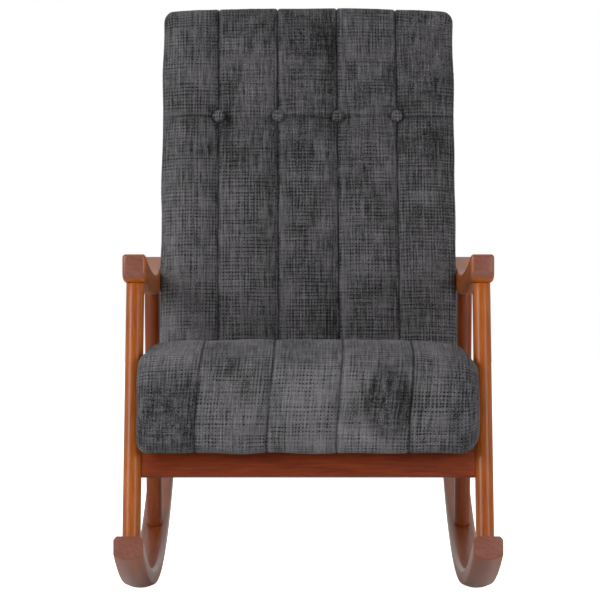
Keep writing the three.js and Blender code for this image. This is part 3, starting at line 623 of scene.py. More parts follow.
def build_rocker(side):
    sign = SIDES[side]
    across, height = rocker_section().T
    radius = ROCKER_RADIUS - height
    first = -np.arcsin(CONTACT_DEPTH / radius)
    last = math.asin((ROCKER_REAR_DEPTH - CONTACT_DEPTH) / ROCKER_RADIUS)
    rings = []
    for t in np.linspace(0, 1, 121):
        angle = first + t * (last - first)
        depth = CONTACT_DEPTH + radius * np.sin(angle)
        z = ROCKER_RADIUS - radius * np.cos(angle)
        rings.append(np.stack([sign * SIDE_X + across, depth, z], 1))
    obj = loft(f"rocker_{side}_wood", to_world(rings), rocker_painted_shade_wood)
    bevel(obj, 0.0016, angle=30)
    points = coordinates(obj)
    dy = points[:, 1] - FRONT_Y - CONTACT_DEPTH
    dz = ROCKER_RADIUS - points[:, 2]
    along = ROCKER_RADIUS * np.arctan2(dy, dz)
    out = ROCKER_RADIUS - np.hypot(dy, dz)
    add_attribute(obj, "grain", np.stack([points[:, 0] + 2.3 * sign, out, along], 1))
    show_end_grain(obj, 0.004)
    place(smooth(obj), [f"rocker_{side}"], "lacquered_wood")


ARM_TOP = np.concatenate(
    [
        bezier((0.119, 0.573), (0.200, 0.553), (0.320, 0.540), (0.415, 0.540), 40),
        bezier((0.415, 0.540), (0.490, 0.540), (0.545, 0.558), (0.608, 0.576), 41),
    ]
)
ARM_UNDERSIDE = np.concatenate(
    [
        bezier((0.119, 0.5400), (0.1225, 0.5325), (0.126, 0.5275), (0.131, 0.526), 12),
        bezier((0.131, 0.526), (0.205, 0.522), (0.240, 0.516), (0.270, 0.510), 20),
        bezier((0.270, 0.510), (0.320, 0.5055), (0.350, 0.5055), (0.415, 0.5055), 20),
        bezier((0.415, 0.5055), (0.500, 0.5055), (0.555, 0.515), (0.6085, 0.537), 21),
    ]
)


def arm_top(depth):
    return np.interp(depth, *ARM_TOP.T)


def arm_underside(depth):
    return np.interp(depth, *ARM_UNDERSIDE.T)


# How high and how wide the round of the arm's lower edges is, at distances behind its front end.
ARM_LOWER_EDGE = (
    ([0, 0.006, 0.02, 0.10, 0.2], [0.003, 0.009, 0.014, 0.010, 0.007]),
    ([0, 0.006, 0.02], [0.003, 0.0045, 0.005]),
)


def build_arm(side):
    sign = SIDES[side]
    low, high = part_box(f"arm_{side}")
    start, end = low.y - FRONT_Y, high.y - FRONT_Y
    half = (high.x - low.x) / 2
    ends = 0.006
    stations = np.concatenate(
        [
            start + ends * (1 - np.cos(np.linspace(0, 1, 7) * math.pi / 2))[:-1],
            np.linspace(start + ends, start + 0.05, 14)[:-1],
            np.linspace(start + 0.05, end - ends, 60)[:-1],
            end - ends * (1 - np.cos(np.linspace(1, 0, 7) * math.pi / 2)),
        ]
    )
    rings = []
    for depth in stations:
        near = min(depth - start, end - depth, ends)
        inset = min(ends - math.sqrt(max(ends**2 - (ends - near) ** 2, 0)), ends * 0.9)
        top = arm_top(depth) - inset
        bottom = arm_underside(depth) + 0.35 * inset
        shoulder, width = (float(np.interp(depth - start, *table)) for table in ARM_LOWER_EDGE)
        section = rounded_ring(-half + inset, half - inset, bottom, top, (width, shoulder), 0.0055)
        x = sign * SIDE_X + section[:, 0]
        rings.append(np.stack([x, np.full(len(section), depth), section[:, 1]], 1))
    obj = loft(f"arm_{side}_wood", to_world(rings), lacquered)
    carve(obj, drill([f"back_bolt_upper_{side}"], SIDE_X + half))
    points = coordinates(obj)
    depth = points[:, 1] - FRONT_Y
    height = points[:, 2] - (arm_top(depth) + arm_underside(depth)) / 2
    add_attribute(obj, "grain", np.stack([points[:, 0] + 5.1 * sign, height, depth], 1))
    show_end_grain(obj, start + 0.006)
    place(smooth(obj), [f"arm_{side}"], "lacquered_wood")


def build_leg(end, side):
    foot_depth, foot_z, angle = LEGS[end]
    side_x = SIDES[side] * SIDE_X
    c, s = math.cos(angle), math.sin(angle)
    across, ahead = rounded_rectangle(LEG_WIDTH, LEG_DEPTH, LEG_ROUND, 9).T
    base_depth = foot_depth + ahead * c
    base_z = foot_z - ahead * s
    limit = ROCKER_RADIUS - ROCKER_THICKNESS - GAP
    off_depth, off_z = base_depth - CONTACT_DEPTH, base_z - ROCKER_RADIUS
    along = s * off_depth + c * off_z
    foot = -along - np.sqrt(along**2 - (off_depth**2 + off_z**2 - limit**2))
    head = np.full(len(across), 0.40)
    for _ in range(30):
        z = base_z + head * c
        head += (arm_underside(base_depth + head * s) - GAP - z) / c
    rings = []
    for t in np.linspace(0, 1, 25):
        up = foot + t * (head - foot)
        rings.append(np.stack([side_x + across, base_depth + up * s, base_z + up * c], 1))
    # the rear legs take the copy of the wood with painted shade
    wood = lacquered if end == "front" else painted_shade_wood
    obj = loft(f"{end}_leg_{side}_wood", to_world(rings), wood)
    bevel(obj, 0.0010, 2)
    carve(obj, drill([f"rail_bolt_{end}_{side}"], SIDE_X + LEG_WIDTH / 2))
    add_grain(obj, (foot_depth, foot_z), (s, c), side_x)
    place(smooth(obj), [f"{end}_leg_{side}"], "lacquered_wood")


def leg_half(size, other, away):
    """Half of one size of the leg's section, at a distance from its middle along the other."""
    corner = np.clip(np.abs(away) - (other / 2 - LEG_ROUND), 0, LEG_ROUND)
    return size / 2 - LEG_ROUND + np.sqrt(LEG_ROUND**2 - corner**2)


RAIL_ROUND = 0.003
RAIL_SIZE = (0.022, 0.042)
RAIL_SHIFT = {"front": 0.002, "rear": -0.002}  # of a rail's middle behind its leg's middle


def build_cross_rail(end):
    low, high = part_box(f"rail_bolt_{end}_left")
    middle = (low + high) / 2
    origin = (middle.y - FRONT_Y, middle.z)
    ahead, up = rounded_rectangle(*RAIL_SIZE, RAIL_ROUND).T
    reach = SIDE_X - leg_half(LEG_WIDTH, LEG_DEPTH, ahead + RAIL_SHIFT[end]) - GAP
    rings = [np.stack([t * reach, ahead, up], 1) for t in np.linspace(-1, 1, 41)]
    obj = loft(f"{end}_rail_wood", to_world(lean(rings, origin, LEGS[end][2])), rail_stain_and_shade_wood)
    points = coordinates(obj)
    add_attribute(obj, "grain", points[:, [1, 2, 0]] + [0.37 * origin[0], 0, 0])
    place(smooth(obj), [f"{end}_rail"], "lacquered_wood")


SIDE_RAIL_SIZE = (0.022, 0.054)
SIDE_RAIL_RISE = 0.002  # of its middle above the seat's origin


def build_side_rail(side):
    side_x = SIDES[side] * SIDE_X
    across, up = (rounded_rectangle(*SIDE_RAIL_SIZE, RAIL_ROUND) + [0, SIDE_RAIL_RISE]).T
    c, s = math.cos(SEAT_TILT), math.sin(SEAT_TILT)
    ends = []
    for end, way in (("front", 1), ("rear", -1)):
        foot_depth, foot_z, angle = LEGS[end]
        angle -= SEAT_TILT
        behind, above = foot_depth - SEAT_ORIGIN[0], foot_z - SEAT_ORIGIN[1]
        foot = behind * c - above * s, behind * s + above * c
        axis = foot[0] + (up - foot[1]) * math.tan(angle)
        half = leg_half(LEG_DEPTH, LEG_WIDTH, across)
        ends.append(axis + way * (half + GAP) / math.cos(angle))
    near, far = ends
    rings = [
        np.stack([side_x + across, near + t * (far - near), up], 1) for t in np.linspace(0, 1, 31)
    ]
    obj = loft(f"side_rail_{side}_wood", seat_to_chair(rings), lacquered)
    bolts = [f"seat_bolt_front_{side}", f"seat_bolt_rear_{side}", f"back_bolt_lower_{side}"]
    carve(obj, drill(bolts, SIDE_X + SIDE_RAIL_SIZE[0] / 2))
    add_grain(obj, SEAT_ORIGIN, (c, -s), side_x)
    place(smooth(obj), [f"side_rail_{side}"], "lacquered_wood")


for side in SIDES:
    build_rocker(side)
    build_arm(side)
    build_side_rail(side)
    for end in LEGS:
        build_leg(end, side)
for end in LEGS:
    build_cross_rail(end)


# ---------------- cushions

SIMULATED_FRAMES = 20
PRESSURE = 7
MOST_PUFF = 0.009  # how far the cover may be blown out
SEAM_STEPS = (0.0012, 0.0024)  # between the rings beside a seam


def smoothstep(value, low, high):
    t = np.clip((np.asarray(value, float) - low) / (high - low), 0, 1)
    return t * t * (3 - 2 * t)


def waves(points, size, seed, count=7):
    """A smooth random field from about -1 to 1, whose features are of that size."""
    random = np.random.default_rng(seed)
    total = 0
    for _ in range(count):
        way = random.normal(size=3)
        way *= 2 * math.pi / size * random.uniform(0.5, 1.1) / np.linalg.norm(way)
        total = total + np.sin(points @ way + random.uniform(0, 2 * math.pi))
    return total / math.sqrt(count)


def seam_distance(across, seams):
    return np.abs(across[:, None] - np.array(seams)).min(1)


def resample(points, count):
    """A closed outline as count points equally far apart from its first point, and its length."""
    closed = np.vstack([points, points[:1]])
    length = np.concatenate([[0], np.cumsum(np.hypot(*np.diff(closed, axis=0).T))])
    at = np.arange(count) * length[-1] / count
    return np.stack([np.interp(at, length, closed[:, k]) for k in (0, 1)], 1), length[-1]


def cubic_sample(values, at, closed):
    """Values along the first axis at fractional indices, on a smooth curve through them."""
    whole = np.floor(at).astype(int)
    f = at - whole
    weights = (
        ((2 - f) * f - 1) * f / 2,
        ((3 * f - 5) * f * f + 2) / 2,
        ((4 - 3 * f) * f + 1) * f / 2,
        (f - 1) * f * f / 2,
    )
    total = 0
    for offset, weight in zip((-1, 0, 1, 2), weights):
        index = whole + offset
        index = index % len(values) if closed else np.clip(index, 0, len(values) - 1)
        total = total + values[index] * weight.reshape((-1,) + (1,) * (values.ndim - 1))
    return total


def grid_normals(points):
    """Outward unit normals of points[ring, place]; the places run anticlockwise seen from +x."""
    across = np.gradient(points, axis=0)
    around = (np.roll(points, -1, 1) - np.roll(points, 1, 1)) / 2
    normal = np.cross(around, across)
    return normal / np.maximum(np.linalg.norm(normal, axis=-1, keepdims=True), 1e-12)


class Cushion:
    """A stuffed cover of upright channels: an outline in its side plane, swept across.

    The across coordinate follows the cloth. Over the front it is x, then it rounds each end and
    runs over the flat side, where the rings shrink towards the cushion's middle line.
    """

    CAP = 0.86  # how far the rings of a flat side shrink before one face closes it

    def __init__(self, outline, middle, reach, half_width, ends, seams, shape):
        self.outline = outline
        self.middle = middle
        self.reach = reach
        self.half_width = half_width
        self.ends = ends
        self.seams = seams
        self.shape = shape

    def stations(self, step, seam_steps=()):
        """The across coordinates of the rings: one on each seam, and close ones beside it."""
        beside = np.cumsum([0, *seam_steps])
        bounds = [-self.half_width + self.ends[0], *self.seams, self.half_width - self.ends[1]]
        found = []
        for number, (low, high) in enumerate(zip(bounds, bounds[1:])):
            before = low + (beside if number > 0 else beside[:1])
            after = high - (beside if number < len(self.seams) else beside[:1])
            count = max(1, round((after[-1] - before[-1]) / step))
            found += [*before, *after, *np.linspace(before[-1], after[-1], count + 1)]
        for sign, round_end in ((-1, self.ends[0]), (1, self.ends[1])):
            start, turn = self.half_width - round_end, round_end * math.pi / 2
            flat = self.reach * self.CAP - round_end
            turns, caps = max(4, round(turn / step)), max(2, round(flat / step / 1.3))
            extra = list(start + turn * np.arange(1, turns + 1) / turns)
            extra += list(start + turn + flat * np.arange(1, caps + 1) / caps)
            found += [sign * value for value in extra]
        return np.unique(np.round(found, 7))

    def surface(self, across, count):
        """The resting surface as points[ring, place, xyz], and the outline's length."""
        profile, length = resample(self.outline, count)
        start, end = np.array(self.middle, float)
        way = (end - start) / np.dot(end - start, end - start)
        t = np.clip((profile - start) @ way, 0, 1)[:, None]
        centre = start + t * (end - start)
        side = np.sign(across)
        round_end = np.where(side > 0, self.ends[1], self.ends[0])
        over = np.abs(across) - (self.half_width - round_end)
        turn = np.clip(over / round_end, 0, math.pi / 2)
        flat = np.clip(over - round_end * math.pi / 2, 0, None)
        edge = side * (self.half_width - round_end + round_end * np.sin(turn))
        share = ((round_end * (1 - np.cos(turn)) + flat) / self.reach)[:, None, None]
        points = np.empty((len(across), count, 3))
        points[..., 0] = np.where(over > 0, edge, across)[:, None]
        points[..., 1:] = profile[None] * (1 - share) + centre[None] * share
        return self.shape(points), length

    def pinned(self, points, across, held):
        """1 where the cover is sewn, turned over the sides or held, and 0 where it is free."""
        on_seam = seam_distance(across, self.seams) < 1e-5
        round_end = np.where(across > 0, self.ends[1], self.ends[0])
        turned = (np.abs(across) - (self.half_width - round_end)) / round_end
        side = smoothstep(turned, 0.5, 1.3)
        return np.clip(np.maximum((on_seam + side)[:, None], held(points)), 0, 1)

    def simulate(self, name, step, held):
        """How far a coarse grid moves when the cover is blown up between its seams."""
        across = self.stations(step)
        count = round(resample(self.outline, 8)[1] / step)
        rest, _ = self.surface(across, count)
        pins = self.pinned(rest, across, held)
        obj = new_object(f"{name}_simulation", rest.reshape(-1, 3), ring_faces(len(across), count))
        group = obj.vertex_groups.new(name="pins")
        for index, weight in enumerate(pins.ravel()):
            if weight > 0:
                group.add([index], float(weight), "REPLACE")
        cloth = obj.modifiers.new("cloth", "CLOTH")
        settings = cloth.settings
        settings.quality = 6
        settings.mass = 0.3
        settings.tension_stiffness = 8
        settings.compression_stiffness = 8
        settings.shear_stiffness = 6
        settings.bending_stiffness = 0.6
        settings.vertex_group_mass = "pins"
        settings.use_pressure = True
        settings.uniform_pressure_force = PRESSURE
        settings.effector_weights.gravity = 0
        cloth.point_cache.frame_end = SIMULATED_FRAMES
        for number in range(1, SIMULATED_FRAMES + 1):
            bpy.context.scene.frame_set(number)
        graph = bpy.context.evaluated_depsgraph_get()
        flat = np.empty(rest.size)
        obj.evaluated_get(graph).data.vertices.foreach_get("co", flat)
        moved = flat.reshape(rest.shape) - rest
        bpy.context.scene.frame_set(1)
        bpy.data.objects.remove(obj)
        far = np.linalg.norm(moved, axis=-1, keepdims=True)
        print(name, "moved", np.percentile(far, [50, 90, 99, 100]).round(4))
        return across, count, moved * (MOST_PUFF * np.tanh(far / MOST_PUFF) / np.maximum(far, 1e-9))

    def build(self, name, step, held, finish, weave, place):
        across, count, moved = self.simulate(name, step, held)
        fine = self.stations(step / 2, SEAM_STEPS)
        points, length = self.surface(fine, count * 2)
        at = np.interp(fine, across, np.arange(len(across)))
        moved = cubic_sample(moved, at, closed=False).swapaxes(0, 1)
        moved = cubic_sample(moved, np.arange(count * 2) / 2, closed=True).swapaxes(0, 1)
        points = finish(points + moved, fine, grid_normals(points + moved))
        rings, places = points.shape[:2]
        faces = ring_faces(rings, places)
        obj = new_object(name, place(points).reshape(-1, 3), faces, charcoal)
        corner = np.array(faces[:-2])
        ring, spot = corner // places, corner % places
        channel = np.searchsorted(self.seams, (fine[:-1] + fine[1:]) / 2)[ring.min(1)]
        along = np.where((spot == 0) & (spot.max(1) > 1)[:, None], places, spot) * length / places
        value = weave(fine[ring], along, channel[:, None] + 0 * ring, points[ring, spot])
        ends = [[(*points[k // places, k % places, 1:], 0) for k in face] for face in faces[-2:]]
        add_attribute(obj, "weave", np.concatenate([value.reshape(-1, 3), *ends]), "CORNER")
        obj.data.shade_smooth()
        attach(obj, "root")
        return obj


def wrinkle(points, normals, size, seed):
    """Makes a stuffed cover uneven, with broad waves of that size and fine ones."""
    for height, width, number in ((0.0009, size, seed), (0.00012, 0.006, seed + 1)):
        points = points + normals * (height * waves(points, width, number))[..., None]
    return points


def seam_grooves(points, across, normals, seams, depth, active):
    """Sinks the cloth along each seam, a little deeper at every stitch."""
    away = seam_distance(across, seams)[:, None]
    stitch = 1 + 0.25 * waves(points, 0.012, 3)
    return points - normals * (depth * np.exp(-away / 0.0014) * active * stitch)[..., None]


# ---------------- seat cushion

SEAT_HALF_WIDTH = 0.2770
SEAT_NARROWING = 0.0078
SEAT_SEAMS = (-0.173, -0.055, 0.057, 0.172)
SEAT_HEIGHT = 0.187
SEAT_OUTLINE = np.concatenate(
    [
        [(0.309, 0.0)],
        np.linspace((0.309, 0.006), (0.326, 0.158), 12),
        bezier((0.327, 0.163), (0.326, 0.176), (0.316, 0.182), (0.303, 0.183), 8),
        bezier((0.303, 0.183), (0.260, 0.186), (0.180, 0.187), (0.120, 0.187), 20),
        bezier((0.120, 0.187), (0.020, 0.187), (-0.057, 0.159), (-0.061, 0.109), 40),
        bezier((-0.061, 0.109), (-0.066, 0.070), (-0.067, -0.006), (-0.032, -0.0055), 40),
        bezier((-0.032, -0.0055), (-0.020, -0.0053), (-0.014, 0.0), (-0.004, 0.0), 8),
        np.linspace((-0.004, 0.0), (0.303, 0.0), 20),
    ]
)


def shape_seat(points):
    x, y, z = (points[..., k].copy() for k in range(3))
    share = np.abs(x) / SEAT_HALF_WIDTH
    top = smoothstep(z, 0.05, 0.17)
    shaped = points.copy()
    shaped[..., 2] -= np.where(x < 0, 0.0075, 0.0105) * share**3 * top
    skew = -0.012 * smoothstep(SEAT_HEIGHT - z, 0, SEAT_HEIGHT) * (1 - share**4)
    shaped[..., 0] += skew * (y < 0.25)
    depth, height = lean(points, SEAT_ORIGIN, SEAT_TILT)[..., 1:].transpose(2, 0, 1)
    foot_depth, foot_z, angle = LEGS["front"]
    front = foot_depth + (height - foot_z) * math.tan(angle) - LEG_DEPTH / 2 / math.cos(angle)
    narrow = smoothstep(depth - front, -0.016, -0.002) * SEAT_NARROWING
    shaped[..., 0] -= np.sign(x) * narrow * smoothstep(share, 0.5, 1)
    return shaped


def hold_seat(points):
    y, z = points[..., 1], points[..., 2]
    under = smoothstep(-z, -0.012, -0.002) * smoothstep(y, -0.03, 0.0)
    return np.maximum(under, smoothstep(y, 0.26, 0.30))


def finish_seat(points, across, normals):
    points = wrinkle(points, normals, 0.07, 11)
    return seam_grooves(points, across, normals, SEAT_SEAMS, 0.0030, 1 - hold_seat(points))


def patches(x, z, channel, spots):
    """Brushed places of the pile, each a (channel, x, z, half width, half height, tone)."""
    tone = np.zeros(np.shape(x))
    for number, cx, cz, rx, rz, amount in spots:
        away = np.hypot((x - cx) / rx, (z - cz) / rz)
        tone += amount * smoothstep(-away, -1.15, -0.75) * (channel == number)
    return tone


SEAT_PATCHES = (
    (0, -0.225, 0.165, 0.09, 0.035, 0.15),
    (0, -0.220, 0.055, 0.09, 0.060, -0.20),
    (1, -0.140, 0.150, 0.04, 0.030, -0.10),
    (2, 0.0, 0.165, 0.07, 0.028, -0.16),
    (2, 0.01, 0.100, 0.05, 0.030, 0.06),
    (3, 0.13, 0.075, 0.042, 0.060, -0.32),
    (3, 0.11, 0.155, 0.07, 0.030, -0.14),
    (4, 0.25, 0.08, 0.030, 0.10, -0.13),
)
SEAT_TONES = (0.03, 0.08, 0.15, 0.11, 0.02)


def weave_seat(u, v, channel, points):
    # painted shade: the cloth darker along the top of the seat, under its crest
    tone = np.take(SEAT_TONES, channel) - 0.09 * smoothstep(points[..., 2], 0.155, 0.178)
    tone = tone + patches(points[..., 0], points[..., 2], channel, SEAT_PATCHES)
    tone = tone + seam_painted_light(u, v, SEAT_SEAMS, 0.30)
    return np.stack([u + 0.41 * channel, v + 0.73 * channel, tone], -1)


def seam_painted_light(u, v, seams, amount):
    """Painted light along a seam: a dark scalloped line, partly painted shade in its groove and
    partly the pressed cloth, painted shade on the cloth before it, and a painted highlight after
    it.
    """
    away = u[..., None] - np.array(seams) + (0.0006 * np.sin(v * 2 * math.pi / 0.0095))[..., None]
    line = -amount * np.exp(-((away / 0.0014) ** 2))
    painted_highlight = 0.10 * np.exp(-(((away - 0.0055) / 0.0045) ** 2))
    shade = -0.09 * np.exp(-(((away + 0.009) / 0.010) ** 2))
    return (line + painted_highlight + shade).sum(-1)


def build_seat():
    cushion = Cushion(
        outline=SEAT_OUTLINE,
        middle=((0.035, 0.093), (0.225, 0.093)),
        reach=0.093,
        half_width=SEAT_HALF_WIDTH,
        ends=(0.019, 0.030),
        seams=SEAT_SEAMS,
        shape=shape_seat,
    )
    obj = cushion.build(
        "seat_cushion",
        step=0.0072,
        held=hold_seat,
        finish=finish_seat,
        weave=weave_seat,
        place=seat_to_chair,
    )
    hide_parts("seat_cover", "seat_foam")


# ---------------- back cushion

BACK_HALF_WIDTH = BACK_WIDTH / 2 + 0.001
BACK_SEAMS = (-0.1625, -0.054, 0.0545, 0.162)
BACK_ROUND = 0.020
BACK_SKEW = 0.005  # how far the seams lean sideways, from bottom to top
BUTTON_FACE = 0.0035
BACK_TOP = BACK_HEIGHT + 0.007


def back_outline():
    low, high, front, rear = 0.0, BACK_TOP, 0.003, BACK_DEPTH
    f, r = BACK_ROUND, 0.008
    return np.concatenate(
        [
            np.linspace((rear, low + r), (rear, high - r), 80),
            arc((rear - r, high - r), (r, r), 0, 1, 5),
            arc((front + f, high - f), (f, f), 1, 2, 10),
            np.linspace((front, high - f), (front, low + f), 80),
            arc((front + f, low + f), (f, f), 2, 3, 10),
            arc((rear - r, low + r), (r, r), 3, 4, 5)[:-1],
        ]
    )


def shape_back(points):
    share = np.abs(points[..., 0]) / BACK_HALF_WIDTH
    z = points[..., 2]
    shaped = points.copy()
    shaped[..., 2] -= 0.009 * share**2 * smoothstep(z, 0.74, BACK_HEIGHT)
    shaped[..., 0] += BACK_SKEW * (0.5 - z / BACK_HEIGHT) * (1 - share**4)
    return shaped


def hold_back(points):
    return smoothstep(points[..., 1], 0.045, 0.065)


def finish_back(points, across, normals):
    x, y, z = (points[..., k] for k in range(3))
    points = wrinkle(points, normals, 0.09, 21)
    points = seam_grooves(points, across, normals, BACK_SEAMS, 0.0034, 1 - hold_back(points))
    front = smoothstep(-y, -0.02, 0.0)
    height = z - BUTTON_HEIGHT
    crease = 0.0026 * np.exp(-np.abs(height) / 0.0035) + 0.0030 * np.exp(-((height / 0.03) ** 2))
    sink = crease * front
    for seam in BACK_SEAMS:
        away = np.hypot(x - seam, height)
        dimple = 0.0035 * np.exp(-((away / 0.028) ** 2)) + 0.004 * np.exp(-((away / 0.013) ** 4))
        sink = sink + front * dimple
    return points - normals * sink[..., None]


BACK_TONES = (0.05, 0.0, -0.03, 0.0, -0.02)
BACK_PATCHES = (
    (2, 0.0, 0.76, 0.07, 0.035, -0.10),
    (4, 0.21, 0.72, 0.06, 0.06, -0.08),
    (0, -0.25, 0.5, 0.035, 0.4, 0.08),
    (0, -0.174, 0.632, 0.012, 0.010, -0.24),
    (1, -0.152, 0.606, 0.016, 0.010, -0.16),
    (0, -0.205, 0.555, 0.030, 0.020, -0.12),
    (3, 0.105, 0.530, 0.030, 0.016, -0.10),
    (4, 0.225, 0.560, 0.026, 0.030, -0.12),
    (4, 0.215, 0.470, 0.022, 0.030, 0.10),
)
BUTTON_TONES = (0.03, 0.07, -0.14, 0.04)


def weave_back(u, v, channel, points):
    x, z = points[..., 0], points[..., 2]
    tone = np.take(BACK_TONES, channel) + patches(x, z, channel, BACK_PATCHES)
    # The button crease: painted shade below it and in a dark scalloped line along it, and a painted
    # highlight just above it.
    height = z - BUTTON_HEIGHT + 0.0016 * np.sin(x * 38.0)
    strength = 0.6 + 0.4 * np.sin(x * 31.0 + 0.8)
    tone = tone - 0.06 * smoothstep(-height, -0.002, 0.002) * np.exp(-np.abs(height) / 0.12)
    tone = tone - 0.34 * strength * np.exp(-((height / 0.0025) ** 2))
    tone = tone + 0.07 * np.exp(-(((height - 0.006) / 0.005) ** 2))
    # painted shade: the cloth darker towards the top of the back
    tone = tone - 0.11 * smoothstep(z, 0.40, 0.70) - 0.015
    tone = tone + seam_painted_light(u, v, BACK_SEAMS, 0.34)
    return np.stack([u + 0.37 * channel, v + 0.59 * channel, tone], -1)


def build_back():
    middle = (BACK_DEPTH + 0.003) / 2
    reach = BACK_DEPTH - middle
    cushion = Cushion(
        outline=back_outline(),
        middle=((middle, reach), (middle, BACK_TOP - reach)),
        reach=reach,
        half_width=BACK_HALF_WIDTH,
        ends=(0.018, 0.018),
        seams=BACK_SEAMS,
        shape=shape_back,
    )
    obj = cushion.build(
        "back_cushion",
        step=0.0078,
        held=hold_back,
        finish=finish_back,
        weave=weave_back,
        place=back_to_chair,
    )
    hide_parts("back_cover", "back_foam")


def build_buttons():
    """Covered buttons: a domed head gathered round its rim, on a shank that goes into the foam."""
    turns, radius = 48, 0.0108
    dome = arc((0, 0.0), (radius, 0.0062), 1, 0, 9)
    rim = arc((radius - 0.0014, 0.0), (0.0014, 0.0022), 0, -1, 4)[1:]
    profile = np.concatenate([dome[1:], rim, [(0.0022, -0.0022), (0.0022, -0.024)]])
    angle = np.arange(turns) * 2 * math.pi / turns
    for number, (seam, tone) in enumerate(zip(BACK_SEAMS, BUTTON_TONES), 1):
        middle = seam + BACK_SKEW * (0.5 - BUTTON_HEIGHT / BACK_HEIGHT)
        rings = []
        for out, up in profile[::-1]:
            folds = 0.035 * np.sin(11 * angle + number) * smoothstep(out, 0.55 * radius, radius)
            lift = up + 0.0004 * np.sin(5 * angle + 2 * number) * (up > 0)
            x = middle + out * (1 + folds) * np.cos(angle)
            z = BUTTON_HEIGHT + out * (1 + folds) * np.sin(angle)
            rings.append(np.stack([x, BUTTON_FACE - lift, z], 1))
        obj = loft(f"back_button_{number}_covered", back_to_chair(rings), charcoal)
        x, _, z = coordinates(obj).T
        add_attribute(obj, "weave", np.stack([x + number, z, np.full(len(x), tone)], 1))
        place(smooth(obj, 75), [f"back_button_{number}"], "charcoal_fabric")


# ---------------- rear panel and lining


def panel_rings(width, height, corner, profile, count):
    """Rings round a flat panel; profile lists how far in from its edge, and how far out."""
    rings = []
    for inset, out in profile:
        size = width - 2 * inset, height - 2 * inset
        ring, _ = resample(rounded_rectangle(*size, max(corner - inset, 0.002)), count)
        rings.append(np.stack([ring[:, 0], np.full(count, out), ring[:, 1]], 1))
    return np.array(rings)


def crown(inset, height, reach):
    """How far a slack or padded sheet stands out, this far in from its edge."""
    return height * math.sin(min(inset / reach, 1) * math.pi / 2)


def build_rear_panel():
    """A board covered in the same cloth, slightly crowned, with a welt sewn round its edge."""
    cord = 0.0030  # radius of the welt
    turns = np.linspace(-1.5, 3.0, 10)
    welt = [(0.0045 - cord * math.cos(turn), cord + cord * math.sin(turn)) for turn in turns]
    insets = np.concatenate([np.linspace(0.0082, 0.03, 7), np.linspace(0.04, 0.235, 18)])
    field = [(inset, cord + crown(inset, 0.0035, 0.13)) for inset in insets]
    rings = panel_rings(0.515, 0.808, 0.012, [(0.012, 0.0)] + welt + field, 420)
    inside = np.arange(len(rings)) > len(welt)
    rings[..., 1] += 0.0007 * waves(rings, 0.11, 31) * inside[:, None]
    rings[..., 1] += BACK_DEPTH + GAP
    rings[..., 2] += BACK_HEIGHT / 2
    obj = loft("back_rear_panel_upholstered", back_to_chair(rings), charcoal)
    x, _, z = coordinates(obj).T
    add_attribute(obj, "weave", np.stack([x + 3.3, z, 0 * x], 1))
    place(smooth(obj, 75), ["back_rear_panel"], "charcoal_fabric")


def build_lining():
    """The cloth under the seat frame: a folded hem, and a slight sag inside it."""
    hem = [(0.020, 0.0), (0.0, 0.0), (0.0, 0.0018), (0.0135, 0.0018), (0.0142, 0.0012)]
    insets = np.linspace(0.020, 0.125, 10)
    field = [(inset, 0.0012 + crown(inset, 0.0022, 0.12)) for inset in insets]
    margin = 0.012  # inside the seat frame's edges
    width = 2 * (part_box("seat_frame_front")[1].x - margin)
    near, far = 0.003 + margin, 0.303 - margin
    rings = panel_rings(width, far - near, 0.003, hem + field, 360)
    inside = np.arange(len(rings)) > len(hem)
    rings[..., 1] += 0.0005 * waves(rings, 0.06, 41) * inside[:, None]
    flat = np.stack([rings[..., 0], rings[..., 2] + (near + far) / 2, -GAP - rings[..., 1]], -1)
    obj = loft("seat_dust_cover_lining", seat_to_chair(flat), lining)
    place(smooth(obj, 75), ["seat_dust_cover"], "black_fabric")


# ---------------- hidden pieces of the frame

NODE_FINISHES = (
    (plain_wood[0], "seat_frame_front", "seat_frame_rear", "back_frame"),
    (plain_wood[1], "seat_frame_left", "seat_frame_right"),
    (plain_wood[2], "foot_dowel", "back_stile"),
    (zinc, "barrel_nut", "rail_bolt", "seat_bolt", "back_bolt"),
    (spring_steel, "seat_spring"),
    (webbing, "back_webbing"),
)
for node_name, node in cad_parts.items():
    for finish, *starts in NODE_FINISHES:
        if node_name.startswith(tuple(starts)):
            node.data.materials.clear()
            node.data.materials.append(finish)

build_seat()
build_back()
build_buttons()
build_rear_panel()
build_lining()

# ---------------- floor, light and camera


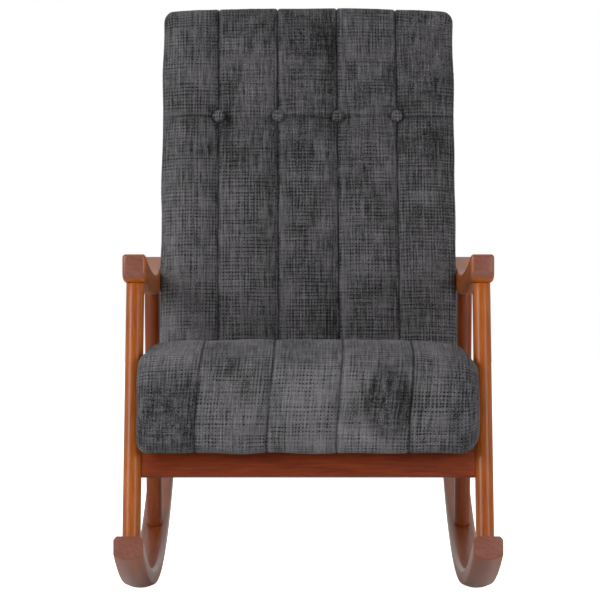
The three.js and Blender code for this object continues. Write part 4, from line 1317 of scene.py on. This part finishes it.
def build_floor():
    size = 12.0
    corners = [(-size, -size), (size, -size), (size, size), (-size, size)]
    obj = new_object("floor", [(x, y, -0.0005) for x, y in corners], [(0, 1, 2, 3)])
    n = Nodes("pale_floor")
    n.finish(
        Base_Color=(0.86, 0.86, 0.86, 1),
        Roughness=0.9,
        Specular_IOR_Level=0.1,
        Emission_Color=(1, 1, 1, 1),
        Emission_Strength=n.camera_ray(),
    )
    obj.data.materials.append(n.owner)


def area_light(name, position, size, power):
    data = bpy.data.lights.new(name, "AREA")
    data.shape = "RECTANGLE"
    data.size, data.size_y = size
    data.energy = power
    obj = bpy.data.objects.new(name, data)
    bpy.context.scene.collection.objects.link(obj)
    obj.location = position
    way = Vector((0, 0, 0.5)) - Vector(position)  # to the middle of the chair
    obj.rotation_euler = way.to_track_quat("-Z", "Y").to_euler()


def build_lights():
    """A white studio: soft light from all round, dimmer from the front, and three soft boxes."""
    area_light("key", (-2.5, -2.6, 1.5), (1.3, 1.6), 68)
    area_light("fill", (2.1, -3.1, 1.0), (1.0, 2.2), 46)
    area_light("top", (0, 0.2, 3.2), (2.6, 2.6), 20)
    n = Nodes("studio", world=True)
    way = n.split(n.node("TexCoord").outputs["Generated"])
    room = n.remap(way[1], -0.9, 0.3, 0.10, 0.72)
    strength = n.node("Mix", {0: n.camera_ray(), 2: room, 3: 1.0}).outputs[0]
    bpy.context.scene.world = n.finish(Color=(1, 1, 1, 1), Strength=strength)


CAMERA_DISTANCE = 3.6  # ahead of the rocker tips
CAMERA_HEIGHT = 0.513
IMAGE_SIZE = 600
PIXELS_PER_METRE = 630  # at the rocker tips
AIM = (8.3, 10.0)  # how far the chair's middle plane is right of, and the horizon above, the centre


def build_camera():
    data = bpy.data.cameras.new("camera")
    data.sensor_width = 36
    data.lens = data.sensor_width * PIXELS_PER_METRE * CAMERA_DISTANCE / IMAGE_SIZE
    data.shift_x = -AIM[0] / IMAGE_SIZE
    data.shift_y = -AIM[1] / IMAGE_SIZE
    obj = bpy.data.objects.new("camera", data)
    bpy.context.scene.collection.objects.link(obj)
    obj.location = (0, FRONT_Y - CAMERA_DISTANCE, CAMERA_HEIGHT)
    obj.rotation_euler = (math.pi / 2, 0, 0)
    bpy.context.scene.camera = obj


build_floor()
build_lights()
build_camera()
bpy.context.scene.view_settings.view_transform = "Standard"
